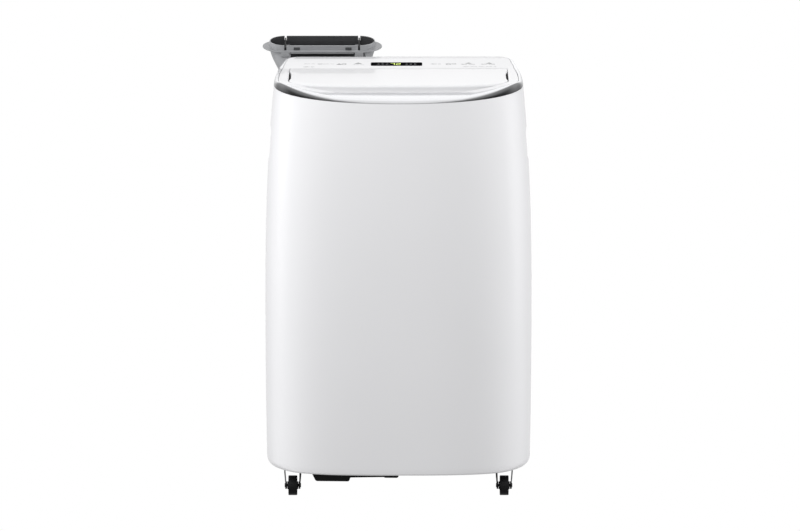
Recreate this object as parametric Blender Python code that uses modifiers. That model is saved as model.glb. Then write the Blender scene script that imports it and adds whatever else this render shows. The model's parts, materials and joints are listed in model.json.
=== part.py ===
"""Portable air conditioner: a casing on four swivel casters, with a hinged outlet flap on top and a window adapter
on an exhaust hose at the back. Metres, +Z up, floor at z = 0, the front faces -Y."""

import math

import bmesh
import bpy
from mathutils import Matrix, Vector

# Driving dimensions of the casing
GAP = 0.0003
WALL = 0.003
HALF_WIDTH = 0.249
BACK_Y = 0.138
SEAM_Y = 0.040
WIDEST_Y = -0.095
SHELL_BOTTOM_Z = 0.0495
SIDE_ROLL = 0.014
FRONT_ROLL = 0.004
REAR_CORNER = 0.028
REAR_TAPER = 0.323

# Driving dimensions of the top
SEAM_Z = 0.7731
STRIP_SLOPE = 0.133
DECK_SLOPE = 0.0305
TRIM_SIDE_Z = 0.7588
TRIM_SLOPE = 0.11
FLAP_HALF_WIDTH = 0.2043
FLAP_FRONT_DEPTH = 0.0926
FLAP_BACK_Y = 0.0383
FLAP_GAP = 0.0012

# Driving dimensions of the exhaust side
DUCT_X = -0.145
HOSE_R = 0.0735
HOSE_WALL = 0.0035
HOSE_Y = 0.222
OUTLET_Z = 0.320
ELBOW_BEND = 0.0765
ADAPTER_TILT = math.radians(12)
MOUTH = Vector((DUCT_X, 0.2025, 0.809))

# Driving dimensions of the casters
TRAIL = 0.012
CASTERS = {"front": (0.197, -0.205, -0.205 + TRAIL), "rear": (0.184, 0.075, 0.075 - TRAIL)}
WHEEL_R = 0.0185
WHEEL_WIDTH = 0.0165
FORK_WIDTH = 0.0325
PAN_Z = 0.054

# Plan outlines: every loop has the same number of stations, so that any two can be lofted
SIDE_STEPS = 3
FRONT_STEPS = 26
REAR_SIDE_STEPS = 2
CORNER_STEPS = 4
BACK_STEPS = 3

WHITE = ((0.88, 0.88, 0.89), 0.25, 0.0)
GREY = ((0.33, 0.34, 0.35), 0.45, 0.0)
DARK = ((0.02, 0.02, 0.022), 0.5, 0.0)
SILVER = ((0.72, 0.73, 0.74), 0.22, 1.0)
STEEL = ((0.55, 0.56, 0.57), 0.35, 1.0)
COPPER = ((0.72, 0.35, 0.2), 0.3, 1.0)
ALUMINIUM = ((0.75, 0.76, 0.77), 0.4, 1.0)


def clear_scene():
    for obj in list(bpy.data.objects):
        bpy.data.objects.remove(obj)


def new_collection(name):
    made = bpy.data.collections.new(name)
    bpy.context.scene.collection.children.link(made)
    return made


clear_scene()
PARTS = new_collection("portable_air_conditioner")
CUTTERS = new_collection("cutters")


# Small helpers


def smooth(low, high, value):
    t = min(1.0, max(0.0, (value - low) / (high - low)))
    return t * t * (3 - 2 * t)


def add(name, mesh, look, smooth_angle=35):
    colour, roughness, metallic = look
    material = bpy.data.materials.new(name)
    material.use_nodes = True
    shader = material.node_tree.nodes["Principled BSDF"]
    shader.inputs["Base Color"].default_value = (*colour, 1.0)
    shader.inputs["Roughness"].default_value = roughness
    shader.inputs["Metallic"].default_value = metallic
    mesh.materials.append(material)
    mesh.shade_smooth()
    mesh.set_sharp_from_angle(angle=math.radians(smooth_angle))
    obj = bpy.data.objects.new(name, mesh)
    PARTS.objects.link(obj)
    return obj


def mesh_from(bm, name="shape"):
    mesh = bpy.data.meshes.new(name)
    bm.to_mesh(mesh)
    bm.free()
    return mesh


def fill_boxes(bm, boxes):
    for low, high in boxes:
        size = Vector(high) - Vector(low)
        centre = (Vector(high) + Vector(low)) / 2
        bmesh.ops.create_cube(bm, size=1, matrix=Matrix.Translation(centre) @ Matrix.Diagonal((*size, 1)))


def boxes_mesh(*boxes):
    bm = bmesh.new()
    fill_boxes(bm, boxes)
    return mesh_from(bm)


def along(axis):
    """Rotation that turns +Z to the axis."""
    return Vector((0, 0, 1)).rotation_difference(Vector(axis)).to_matrix().to_4x4()


def fill_cylinder(bm, start, end, radius, sides=16):
    start, end = Vector(start), Vector(end)
    matrix = Matrix.Translation((start + end) / 2) @ along((end - start).normalized())
    bmesh.ops.create_cone(
        bm, cap_ends=True, segments=sides, radius1=radius, radius2=radius, depth=(end - start).length, matrix=matrix
    )


def cylinder_mesh(start, end, radius, sides=16):
    bm = bmesh.new()
    fill_cylinder(bm, start, end, radius, sides)
    return mesh_from(bm)


def prism_mesh(outline, low, high, axis="Y"):
    """Prism over an outline of two coordinates, extruded along X, Y or Z from low to high."""
    place = {
        "X": lambda u, v, w: (w, u, v),
        "Y": lambda u, v, w: (u, w, v),
        "Z": lambda u, v, w: (u, v, w),
    }[axis]
    bm = bmesh.new()
    first = [bm.verts.new(place(u, v, low)) for u, v in outline]
    last = [bm.verts.new(place(u, v, high)) for u, v in outline]
    bm.faces.new(first)
    bm.faces.new(last)
    for k in range(len(outline)):
        n = (k + 1) % len(outline)
        bm.faces.new((first[k], first[n], last[n], last[k]))
    bmesh.ops.recalc_face_normals(bm, faces=bm.faces)
    return mesh_from(bm)


def helper(mesh, name):
    obj = bpy.data.objects.new(name, mesh)
    CUTTERS.objects.link(obj)
    obj.hide_render = True
    obj.display_type = "WIRE"
    return obj


def boolean(obj, mesh, operation="DIFFERENCE"):
    modifier = obj.modifiers.new(f"{operation.lower()}_{len(obj.modifiers)}", "BOOLEAN")
    modifier.operation = operation
    modifier.object = helper(mesh, f"{obj.name}_{modifier.name}")


def cut(obj, *meshes):
    for mesh in meshes:
        boolean(obj, mesh)


def join(obj, *meshes):
    for mesh in meshes:
        boolean(obj, mesh, "UNION")


def grid_mesh(rows, close_rows=False, close_columns=True):
    """Loft through rows of points, with its faces turned outwards where it is closed."""
    bm = bmesh.new()
    made = [[bm.verts.new(point) for point in row] for row in rows]
    last_row = len(rows) if close_rows else len(rows) - 1
    width = len(rows[0])
    last_column = width if close_columns else width - 1
    for r in range(last_row):
        low, high = made[r], made[(r + 1) % len(rows)]
        for c in range(last_column):
            n = (c + 1) % width
            bm.faces.new((low[c], low[n], high[n], high[c]))
    if close_rows:
        bmesh.ops.recalc_face_normals(bm, faces=bm.faces)
    return mesh_from(bm)


def solidify(obj, thickness=WALL):
    modifier = obj.modifiers.new("wall", "SOLIDIFY")
    modifier.thickness = thickness
    modifier.offset = -1
    modifier.use_even_offset = True


def set_origin(obj, origin):
    """Moves the object's origin and leaves its shape where it is."""
    obj.data.transform(Matrix.Translation(-Vector(origin)))
    obj.location = origin


def turned(name, profile, look, start, axis, sides=24):
    """Profile of (radius, height) turned about an axis that starts at a point."""
    bm = bmesh.new()
    made = [bm.verts.new((radius, 0, height)) for radius, height in profile]
    for first, second in zip(made, made[1:] + made[:1]):
        bm.edges.new((first, second))
    obj = add(name, mesh_from(bm), look)
    screw = obj.modifiers.new("turn", "SCREW")
    screw.steps = sides
    screw.render_steps = sides
    screw.use_merge_vertices = True
    screw.merge_threshold = 0.00001
    screw.use_smooth_shade = True
    obj.matrix_world = Matrix.Translation(start) @ along(axis)
    return obj


def pipe(name, points, radius, look):
    curve = bpy.data.curves.new(name, "CURVE")
    curve.dimensions = "3D"
    curve.bevel_depth = radius
    curve.bevel_resolution = 2
    curve.use_fill_caps = True
    spline = curve.splines.new("POLY")
    spline.points.add(len(points) - 1)
    for made, point in zip(spline.points, points):
        made.co = (*point, 1)
    obj = bpy.data.objects.new(name, curve)
    PARTS.objects.link(obj)
    material = bpy.data.materials.new(name)
    material.use_nodes = True
    shader = material.node_tree.nodes["Principled BSDF"]
    shader.inputs["Base Color"].default_value = (*look[0], 1.0)
    shader.inputs["Roughness"].default_value = look[1]
    shader.inputs["Metallic"].default_value = look[2]
    curve.materials.append(material)
    return obj


# The casing's plan and heights


def plan(half_width, front_depth, power, back=BACK_Y, corner=REAR_CORNER, taper=REAR_TAPER, seam=SEAM_Y):
    """Closed outline seen from above, from the left seam round the front: superellipse front, bowed rear sides,
    rounded rear corners and a flat back."""

    def side(y):
        return half_width - taper * (y - WIDEST_Y) ** 2

    turn = back - corner
    slope = math.atan(2 * taper * (turn - WIDEST_Y))
    points = [(-side(seam + (WIDEST_Y - seam) * k / SIDE_STEPS), seam + (WIDEST_Y - seam) * k / SIDE_STEPS)
              for k in range(SIDE_STEPS)]
    for k in range(FRONT_STEPS + 1):
        angle = math.pi * (1 - k / FRONT_STEPS)
        across, forward = math.cos(angle), math.sin(angle)
        x = half_width * math.copysign(abs(across) ** (2 / power), across)
        points.append((x, WIDEST_Y - front_depth * abs(forward) ** (2 / power)))
    points += [(-x, y) for x, y in reversed(points[:SIDE_STEPS])]
    right = []
    for k in range(1, REAR_SIDE_STEPS):
        y = seam + (turn - seam) * k / REAR_SIDE_STEPS
        right.append((side(y), y))
    centre = side(turn) - corner
    for k in range(CORNER_STEPS + 1):
        angle = slope + (math.pi / 2 - slope) * k / CORNER_STEPS
        right.append((centre + corner * math.cos(angle), turn + corner * math.sin(angle)))
    back_half = right[-1][0]
    straight = [(back_half * (1 - 2 * k / BACK_STEPS), turn + corner) for k in range(1, BACK_STEPS)]
    return points + right + straight + [(-x, y) for x, y in reversed(right)]


LAST_FRONT = 2 * SIDE_STEPS + FRONT_STEPS


def shell_size(z):
    """Half width, front depth and front power of the casing's outline at a height."""
    rise = max(0.0, z - 0.35) / 0.41
    drop = max(0.0, 0.35 - z) / 0.30
    half_width = HALF_WIDTH - 0.0167 * rise**2.4 - 0.003 * drop**2
    up = max(0.0, z) / 0.75
    return half_width, 0.195 - 0.028 * up**1.5, 3.2 - 1.05 * up


def deck_z(y):
    """Height of the white top: a control strip sloping forward, then an almost level deck."""
    return SEAM_Z + (STRIP_SLOPE if y > SEAM_Y else DECK_SLOPE) * (y - SEAM_Y)


def trim_low_z(y):
    """Height of the trim's lower edge, which meets the top's edge at the rear corners."""
    plane = TRIM_SIDE_Z + TRIM_SLOPE * (y - WIDEST_Y)
    near = smooth(-0.05, 0.12, y)
    return plane * (1 - near) + (deck_z(y) - 0.003) * near


def rim_z(y):
    """Height where the trim meets the white top: it drops under the flap's front lip."""
    return deck_z(y) - 0.0125 * min(1.0, max(0.0, (-0.140 - y) / 0.047)) ** 3.5


def outward(points):
    """Unit normals of a closed outline that runs anticlockwise."""
    made = []
    for k, _ in enumerate(points):
        (x0, y0), (x1, y1) = points[k - 1], points[(k + 1) % len(points)]
        made.append(Vector((y1 - y0, x0 - x1)).normalized())
    return made


def shell_rows():
    """Loops of the casing's outer face, from its rolled-in bottom edge up to the trim."""
    rows = []
    for step in range(4):
        angle = math.radians(90) * step / 4
        row = []
        base = plan(*shell_size(SHELL_BOTTOM_Z + SIDE_ROLL * 0.5))
        for (x, y), normal in zip(base, outward(base)):
            roll = FRONT_ROLL + (SIDE_ROLL - FRONT_ROLL) * smooth(0.50, 1.0, abs(normal.x))
            inset = roll * (1 - math.sin(angle))
            z = SHELL_BOTTOM_Z + roll * (1 - math.cos(angle))
            row.append(Vector((x - normal.x * inset, y - normal.y * inset, z)))
        rows.append(row)
    start = SHELL_BOTTOM_Z + SIDE_ROLL
    top_plan = plan(*shell_size(TRIM_SIDE_Z))
    for share in (0, 0.2, 0.42, 0.62, 0.76, 0.88, 1):
        row = []
        for k, (_, top_y) in enumerate(top_plan):
            z = start + share * (trim_low_z(top_y) - 2 * GAP - start)
            x, y = plan(*shell_size(z))[k]
            row.append(Vector((x, y, z)))
        rows.append(row)
    return rows


def part_of(rows, front):
    made = []
    for row in rows:
        picked = row[: LAST_FRONT + 1] if front else row[LAST_FRONT:] + row[:1]
        shift = Vector((0, -GAP / 2 if front else GAP / 2, 0))
        picked = [point.copy() for point in picked]
        picked[0] += shift
        picked[-1] += shift
        made.append(picked)
    return made


def handle_box(side, grow=0.0):
    low_x, high_x = 0.204 - grow, 0.236 + grow
    xs = sorted((side * low_x, side * high_x))
    return (xs[0], -0.125 - grow, 0.618 - grow), (xs[1], 0.0 + grow, 0.680 + grow)


def front_shell():
    obj = add("front_shell", grid_mesh(part_of(shell_rows(), True), close_columns=False), WHITE)
    solidify(obj)
    for side in (-1, 1):
        low, high = handle_box(side, GAP)
        far = 0.3 * side
        reach = ((min(low[0], far), low[1], low[2]), (max(high[0], far), high[1], high[2]))
        cut(obj, boxes_mesh(reach))


def handles():
    for side, name in ((-1, "left_handle"), (1, "right_handle")):
        (x0, y0, z0), (x1, y1, z1) = handle_box(side)
        obj = add(name, boxes_mesh(((x0, y0, z0), (x1, y1, z1))), WHITE)
        floor = 0.0025
        inner = (x0 + floor, 0.3) if side > 0 else (-0.3, x1 - floor)
        cut(obj, boxes_mesh(((inner[0], y0 + floor, z0 + floor), (inner[1], y1 - floor, z1 - floor))))


UPPER_DOOR = ((-0.055, 0.430), (0.175, 0.720))
LOWER_DOOR = ((-0.175, 0.090), (0.175, 0.235))
UPPER_PLUG = (0.020, 0.3545)
LOWER_PLUG = (0.000, 0.0720)
GLAND = (0.170, 0.300)


def rear_hole(rect, grow=0.0005):
    (x0, z0), (x1, z1) = rect
    return boxes_mesh(((x0 - grow, BACK_Y - 0.02, z0 - grow), (x1 + grow, BACK_Y + 0.02, z1 + grow)))


def rear_bore(x, z, radius, sides=16):
    return cylinder_mesh((x, BACK_Y - 0.02, z), (x, BACK_Y + 0.02, z), radius, sides)


def rear_shell():
    obj = add("rear_shell", grid_mesh(part_of(shell_rows(), False), close_columns=False), WHITE)
    solidify(obj)
    cut(obj, rear_hole(UPPER_DOOR), rear_hole(LOWER_DOOR))
    cut(obj, rear_bore(DUCT_X, OUTLET_Z, 0.0715, 24))
    cut(obj, rear_bore(*UPPER_PLUG, 0.009), rear_bore(*LOWER_PLUG, 0.009), rear_bore(*GLAND, 0.0075))


def trim_ring():
    outer = plan(*shell_size(TRIM_SIDE_Z))
    inner = plan(0.2243, 0.097, 4, back=BACK_Y - 0.0045, corner=REAR_CORNER - 0.003)
    rows = [[] for _ in range(6)]
    for (ox, oy), (ix, iy) in zip(outer, inner):
        low = Vector((*plan(*shell_size(trim_low_z(oy)))[len(rows[0])], trim_low_z(oy)))
        high = Vector((ix, iy, rim_z(iy)))
        across = Vector((high.x - low.x, high.y - low.y, 0))
        inward = across.normalized()
        crown = low + across * 0.30 + Vector((0, 0, (high.z - low.z) * 0.80))
        rows[0].append(low)
        rows[1].append(crown)
        rows[2].append(high)
        rows[3].append(high - Vector((0, 0, 0.0022)))
        rows[4].append(low + across * 0.5 + Vector((0, 0, (high.z - low.z) * 0.15)))
        rows[5].append(low + inward * 0.0020)
    add("trim_ring", grid_mesh(rows, close_rows=True), SILVER)


def opening_plan(grow=0.0):
    return plan(
        FLAP_HALF_WIDTH + grow, FLAP_FRONT_DEPTH + grow, 4, back=FLAP_BACK_Y + grow, corner=0.004, taper=0.0, seam=0.0
    )


def top_panel():
    outer = plan(0.2243 - 0.0005, 0.097 - 0.0005, 4, back=BACK_Y - 0.0050, corner=REAR_CORNER - 0.0035)
    inner = opening_plan(FLAP_GAP)
    rows = [[Vector((x, y, rim_z(y))) for x, y in loop] for loop in (outer, inner)]
    middle = [(a + b) / 2 for a, b in zip(*rows)]
    obj = add("top_panel", grid_mesh([rows[0], middle, rows[1]]), WHITE)
    solidify(obj, 0.0024)
    cut(obj, window_mesh(GAP, 0.02))


WINDOW = (-0.0038, 0.0755)
WINDOW_SIZE = (0.0966, 0.0280)
WINDOW_CORNER = 0.0042


def window_mesh(grow, reach):
    """Plate with rounded corners that lies in the control strip's slope."""
    radius = WINDOW_CORNER + grow
    across, along_strip = WINDOW_SIZE[0] / 2 + grow - radius, WINDOW_SIZE[1] / 2 + grow - radius
    outline = []
    for quarter, (x, y) in enumerate(((1, -1), (1, 1), (-1, 1), (-1, -1))):
        for k in range(4):
            angle = math.radians(90 * quarter - 90 + 30 * k)
            outline.append((x * across + radius * math.cos(angle), y * along_strip + radius * math.sin(angle)))
    mesh = prism_mesh(outline, -reach, reach if reach > 0.01 else 0.0, "Z")
    tilt = Matrix.Rotation(math.atan(STRIP_SLOPE), 4, "X")
    mesh.transform(Matrix.Translation((WINDOW[0], WINDOW[1], deck_z(WINDOW[1]))) @ tilt)
    return mesh


def display_window():
    add("display_window", window_mesh(0.0, 0.0022), DARK)


def control_board():
    mesh = boxes_mesh(((-0.150, -0.030, -0.0016), (0.150, 0.030, 0)))
    place = Matrix.Translation((0, 0.085, deck_z(0.085) - 0.014))
    mesh.transform(place @ Matrix.Rotation(math.atan(STRIP_SLOPE), 4, "X"))
    add("control_board", mesh, ((0.05, 0.22, 0.10), 0.5, 0.0))


HINGE = (0.0, FLAP_BACK_Y, SEAM_Z - 0.0006)


def louver_flap():
    outline = opening_plan()
    top = [Vector((x, y, deck_z(y))) for x, y in outline]
    skirt = [Vector((x, y, min(deck_z(y) - 0.006, rim_z(y) - 0.0002))) for x, y in outline]
    bm = bmesh.new()
    upper = [bm.verts.new(point) for point in top]
    lower = [bm.verts.new(point) for point in skirt]
    bm.faces.new(upper)
    for k in range(len(outline)):
        n = (k + 1) % len(outline)
        bm.faces.new((lower[k], lower[n], upper[n], upper[k]))
    obj = add("louver_flap", mesh_from(bm), WHITE, 60)
    set_origin(obj, HINGE)
    solidify(obj, 0.0022)


# Air path under the flap

VANE_X = (-0.140, -0.070, 0.0, 0.070, 0.140)
VANE_Z = 0.715
VANE_Y = (-0.140, -0.020)
CRANK = 0.013


def rectangle(x0, y0, x1, y1, z):
    return [Vector((x0, y0, z)), Vector((x1, y0, z)), Vector((x1, y1, z)), Vector((x0, y1, z))]


def air_duct():
    rows = [
        rectangle(-0.166, -0.150, 0.166, -0.030, 0.600),
        rectangle(-0.190, -0.170, 0.190, 0.020, 0.690),
        rectangle(-0.192, -0.172, 0.192, 0.022, 0.7500),
    ]
    obj = add("air_duct", grid_mesh(rows), DARK)
    solidify(obj, 0.002)
    cut(obj, *[cylinder_mesh((x, -0.20, VANE_Z), (x, 0.05, VANE_Z), 0.0032, 10) for x in VANE_X])


def vanes():
    y0, y1 = VANE_Y
    for number, x in enumerate(VANE_X, 1):
        plate = boxes_mesh(((x - 0.001, y0, VANE_Z - 0.017), (x + 0.001, y1, VANE_Z + 0.019)))
        obj = add(f"vane_{number}", plate, WHITE)
        join(obj, cylinder_mesh((x, -0.1735, VANE_Z), (x, 0.0235, VANE_Z), 0.0026, 10))
        low = VANE_Z - CRANK
        join(obj, cylinder_mesh((x, y1 - 0.006, low), (x, y1 + 0.010, low), 0.0018, 8))
        set_origin(obj, (x, (y0 + y1) / 2, VANE_Z))


def vane_link():
    y = VANE_Y[1] + 0.003
    z = VANE_Z - CRANK
    bar = boxes_mesh(((VANE_X[0] - 0.006, y, z - 0.005), (VANE_X[-1] + 0.006, y + 0.003, z + 0.005)))
    obj = add("vane_link", bar, DARK)
    cut(obj, *[cylinder_mesh((x, y - 0.01, z), (x, y + 0.01, z), 0.0026, 8) for x in VANE_X])
    set_origin(obj, (VANE_X[0], y, z))


def louver_motor():
    obj = add("louver_motor", cylinder_mesh((0.1955, 0.008, 0.742), (0.2115, 0.008, 0.742), 0.012, 20), STEEL)
    join(obj, boxes_mesh(((0.1955, -0.012, 0.739), (0.1975, 0.028, 0.745))))


def arc_points(centre_x, centre_z, radius, first, last, steps):
    return [
        (centre_x + radius * math.cos(math.radians(first + (last - first) * k / steps)),
         centre_z + radius * math.sin(math.radians(first + (last - first) * k / steps)))
        for k in range(steps + 1)
    ]


BLOWER = (0.0, 0.527)
BLOWER_R = 0.100


def blower_housing():
    x, z = BLOWER
    outer = [(-0.169, 0.5990)] + arc_points(x, z, 0.122, 180, 360, 12) + [(0.169, 0.5990)]
    inner = [(-0.166, 0.6200)] + arc_points(x, z, 0.119, 180, 360, 12) + [(0.166, 0.6200)]
    obj = add("blower_housing", prism_mesh(outer, -0.153, -0.027), DARK)
    cut(obj, prism_mesh(inner, -0.150, -0.030))
    cut(obj, cylinder_mesh((x, -0.05, z), (x, 0.0, z), 0.080, 24))
    cut(obj, cylinder_mesh((x, -0.17, z), (x, -0.14, z), 0.012, 12))


def wheel_profile(radius, width, shaft, reach):
    """Squirrel-cage wheel: a hub with a shaft stub, a back disc and a hollow rim."""
    return [
        (0.0, width * 0.5), (0.014, width * 0.5), (0.014, 0.003), (radius - 0.014, 0.003),
        (radius - 0.014, width), (radius, width), (radius, 0.0), (shaft, 0.0), (shaft, -reach), (0.0, -reach),
    ]


def blower_wheel():
    x, z = BLOWER
    profile = wheel_profile(BLOWER_R, 0.100, 0.004, 0.050)
    turned("blower_wheel", profile, GREY, (x, -0.142, z), (0, 1, 0), 28)


def blower_motor():
    x, z = BLOWER
    obj = add("blower_motor", cylinder_mesh((x, -0.215, z), (x, -0.1535, z), 0.045, 24), STEEL)
    cut(obj, cylinder_mesh((x, -0.25, z), (x, -0.10, z), 0.0046, 12))


# Lower section

FAN = (-0.105, 0.205)
FAN_R = 0.078


def divider_tray():
    loop = plan(0.2405, 0.172, 2.7, back=BACK_Y - 0.006, corner=0.024)
    obj = add("divider_tray", prism_mesh(loop, 0.3950, 0.4010, "Z"), GREY)
    join(obj, boxes_mesh(((-0.115, 0.0520, 0.3980), (0.212, 0.0545, 0.4130))))
    cut(obj, *[cylinder_mesh((x, y, 0.38), (x, y, 0.42), 0.0075, 12) for x, y in PIPE_HOLES])


PIPE_HOLES = ((0.205, 0.030), (0.185, 0.030))


def evaporator():
    add("evaporator", boxes_mesh(((-0.105, 0.0600, 0.4040), (0.178, 0.1050, 0.6900))), ALUMINIUM)


def condenser():
    add("condenser", boxes_mesh(((-0.185, 0.0700, 0.0700), (0.178, 0.1080, 0.2470))), ALUMINIUM)


def condenser_fan_housing():
    x, z = FAN
    obj = add("condenser_fan_housing", boxes_mesh(((-0.215, -0.075, 0.1100), (-0.010, 0.0600, 0.3930))), DARK)
    cut(obj, boxes_mesh(((-0.212, -0.072, 0.1130), (-0.013, 0.0570, 0.3900))))
    cut(obj, cylinder_mesh((x, 0.05, z), (x, 0.07, z), 0.065, 24))
    cut(obj, cylinder_mesh((DUCT_X, 0.05, OUTLET_Z), (DUCT_X, 0.07, OUTLET_Z), 0.050, 24))
    cut(obj, cylinder_mesh((x, -0.09, z), (x, -0.06, z), 0.012, 12))


def condenser_fan():
    x, z = FAN
    turned("condenser_fan", wheel_profile(FAN_R, 0.080, 0.004, 0.050), GREY, (x, -0.055, z), (0, 1, 0), 24)


def condenser_motor():
    x, z = FAN
    obj = add("condenser_motor", cylinder_mesh((x, -0.138, z), (x, -0.0755, z), 0.040, 24), STEEL)
    cut(obj, cylinder_mesh((x, -0.20, z), (x, -0.05, z), 0.0046, 12))


def exhaust_collar():
    profile = [(0.0713, 0.0690), (0.0713, 0.0), (0.0525, 0.0), (0.0525, 0.0025), (0.0685, 0.0025), (0.0685, 0.0690)]
    turned("exhaust_collar", profile, DARK, (DUCT_X, 0.0604, OUTLET_Z), (0, 1, 0), 28)


def bend_frames():
    """Centre and direction round the elbow, from straight back to straight up."""
    made = []
    start = HOSE_Y - ELBOW_BEND
    for k in range(6):
        angle = math.radians(90) * k / 5
        y = start + ELBOW_BEND * math.sin(angle)
        z = OUTLET_Z + ELBOW_BEND * (1 - math.cos(angle))
        made.append(((DUCT_X, y, z), Vector((0, math.cos(angle), math.sin(angle)))))
    return made


def ring_about(centre, direction, radius, sides):
    """Circle of points across a direction in the YZ plane, starting at +X."""
    side = Vector((1, 0, 0))
    other = Vector(direction).cross(side)
    return [
        Vector(centre) + side * radius * math.cos(2 * math.pi * k / sides)
        + other * radius * math.sin(2 * math.pi * k / sides)
        for k in range(sides)
    ]


def tube_mesh(outer, inner, sides=24):
    """Closed tube from outer stations (centre, direction, radius) and back through the inner ones."""
    return grid_mesh([ring_about(*station, sides) for station in outer + inner[::-1]], close_rows=True)


def exhaust_elbow():
    frames = bend_frames()
    back = Vector((0, 1, 0))
    face = (DUCT_X, BACK_Y + GAP, OUTLET_Z)
    lip = (DUCT_X, BACK_Y + 0.0040, OUTLET_Z)
    outer = [(face, back, 0.0820), (lip, back, 0.0820), (lip, back, HOSE_R + 0.0002)]
    outer += [(centre, direction, HOSE_R) for centre, direction in frames]
    inner = [(face, back, 0.0690)] + [(centre, direction, HOSE_R - 0.003) for centre, direction in frames]
    add("exhaust_elbow", tube_mesh(outer, inner), GREY)


ADAPTER_UP = Vector((0, -math.sin(ADAPTER_TILT), math.cos(ADAPTER_TILT)))
ADAPTER_BACK = Vector((0, math.cos(ADAPTER_TILT), math.sin(ADAPTER_TILT)))
COLLAR_H = 0.010
FUNNEL_H = 0.069


def hose():
    start = Vector((DUCT_X, HOSE_Y, OUTLET_Z + ELBOW_BEND + GAP))
    end = MOUTH - ADAPTER_UP * (COLLAR_H + FUNNEL_H + GAP)
    first, last = Vector((0, 0, 1)) * 0.12, ADAPTER_UP * 0.12
    outer, inner = [], []
    for k in range(6):
        t = k / 5
        centre = (
            start * (2 * t**3 - 3 * t**2 + 1) + first * (t**3 - 2 * t**2 + t)
            + end * (3 * t**2 - 2 * t**3) + last * (t**3 - t**2)
        )
        way = (
            start * (6 * t**2 - 6 * t) + first * (3 * t**2 - 4 * t + 1)
            + end * (6 * t - 6 * t**2) + last * (3 * t**2 - 2 * t)
        ).normalized()
        outer.append((centre, way, HOSE_R))
        inner.append((centre, way, HOSE_R - HOSE_WALL))
    add("hose", tube_mesh(outer, inner), GREY)


def mouth_ring(height, straight, reach, depth, sides=28):
    """Stadium round the adapter's axis: straight half length, end reach and half depth."""
    centre = MOUTH + ADAPTER_UP * height
    ring = []
    for k in range(sides):
        angle = 2 * math.pi * (k + 0.5) / sides
        x = math.copysign(straight, math.cos(angle)) + reach * math.cos(angle)
        ring.append(centre + Vector((x, 0, 0)) + ADAPTER_BACK * depth * math.sin(angle))
    return ring


def adapter_box(x0, x1, v0, v1, h0, h1):
    """Box in the adapter's own directions: across, back from the mouth's centre and up its axis."""
    mesh = boxes_mesh(((x0, v0, h0), (x1, v1, h1)))
    frame = Matrix((Vector((1, 0, 0)), ADAPTER_BACK, ADAPTER_UP)).transposed().to_4x4()
    mesh.transform(Matrix.Translation(MOUTH) @ frame)
    return mesh


def window_adapter():
    wall = 0.0025
    low = -COLLAR_H - FUNNEL_H
    rows = [
        mouth_ring(0, 0.0695, 0.0310, 0.0310),
        mouth_ring(-COLLAR_H, 0.0695, 0.0310, 0.0310),
        mouth_ring(-COLLAR_H, 0.0735, 0.0400, 0.0360),
        mouth_ring(-COLLAR_H - 0.0025, 0.0735, 0.0400, 0.0360),
        mouth_ring(-COLLAR_H - 0.0025, 0.0680, 0.0320, 0.0318),
        mouth_ring(-COLLAR_H - 0.028, 0.0480, 0.0465, 0.0430),
        mouth_ring(low + 0.014, 0.0100, 0.0705, 0.0700),
        mouth_ring(low, 0.0, 0.0775, 0.0775),
        mouth_ring(low, 0.0, 0.0775 - wall, 0.0775 - wall),
        mouth_ring(low + 0.014, 0.0100, 0.0705 - wall, 0.0700 - wall),
        mouth_ring(-COLLAR_H - 0.028, 0.0480, 0.0465 - wall, 0.0430 - wall),
        mouth_ring(-COLLAR_H - 0.004, 0.0680, 0.0320 - wall, 0.0318 - wall),
        mouth_ring(0, 0.0695, 0.0310 - wall, 0.0310 - wall),
    ]
    obj = add("window_adapter", grid_mesh(rows, close_rows=True), GREY)
    for x in (-0.070, 0.070):
        cut(obj, adapter_box(x - 0.002, x + 0.002, -0.05, 0.05, -COLLAR_H + 0.0006, 0.01))
        join(obj, adapter_box(x - 0.008, x + 0.008, -0.0345, -0.0300, -0.021, -0.0115))
    set_origin(obj, MOUTH)


# Base, casters and small parts


def base_pan():
    loop = plan(0.2080, 0.180, 3.2, back=0.126, corner=0.020, taper=0.25)
    obj = add("base_pan", prism_mesh(loop, PAN_Z, 0.0640, "Z"), DARK)
    cut(obj, *[cylinder_mesh((x, y, 0.04), (x, y, 0.08), 0.0065, 12) for x, y in swivel_points()])


def swivel_points():
    return [(side * x, swivel_y) for side in (-1, 1) for x, _, swivel_y in CASTERS.values()]


def sump_cover():
    outline = [(-0.1640, 0.0537), (-0.1560, 0.0325), (-0.0920, 0.0325), (-0.0880, 0.0400), (-0.0270, 0.0400),
               (-0.0250, 0.0385), (-0.0020, 0.0385), (0.0010, 0.0537)]
    add("sump_cover", prism_mesh(outline, -0.245, -0.150), DARK)


def fork_leg(x0, x1, axle_y, swivel_y):
    outline = [
        (swivel_y - 0.0130, 0.0480), (axle_y - 0.0050, 0.0170), (axle_y - 0.0038, 0.0130),
        (axle_y + 0.0038, 0.0130), (axle_y + 0.0050, 0.0170), (swivel_y + 0.0130, 0.0480),
    ]
    return prism_mesh(outline, x0, x1, "X")


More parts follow.
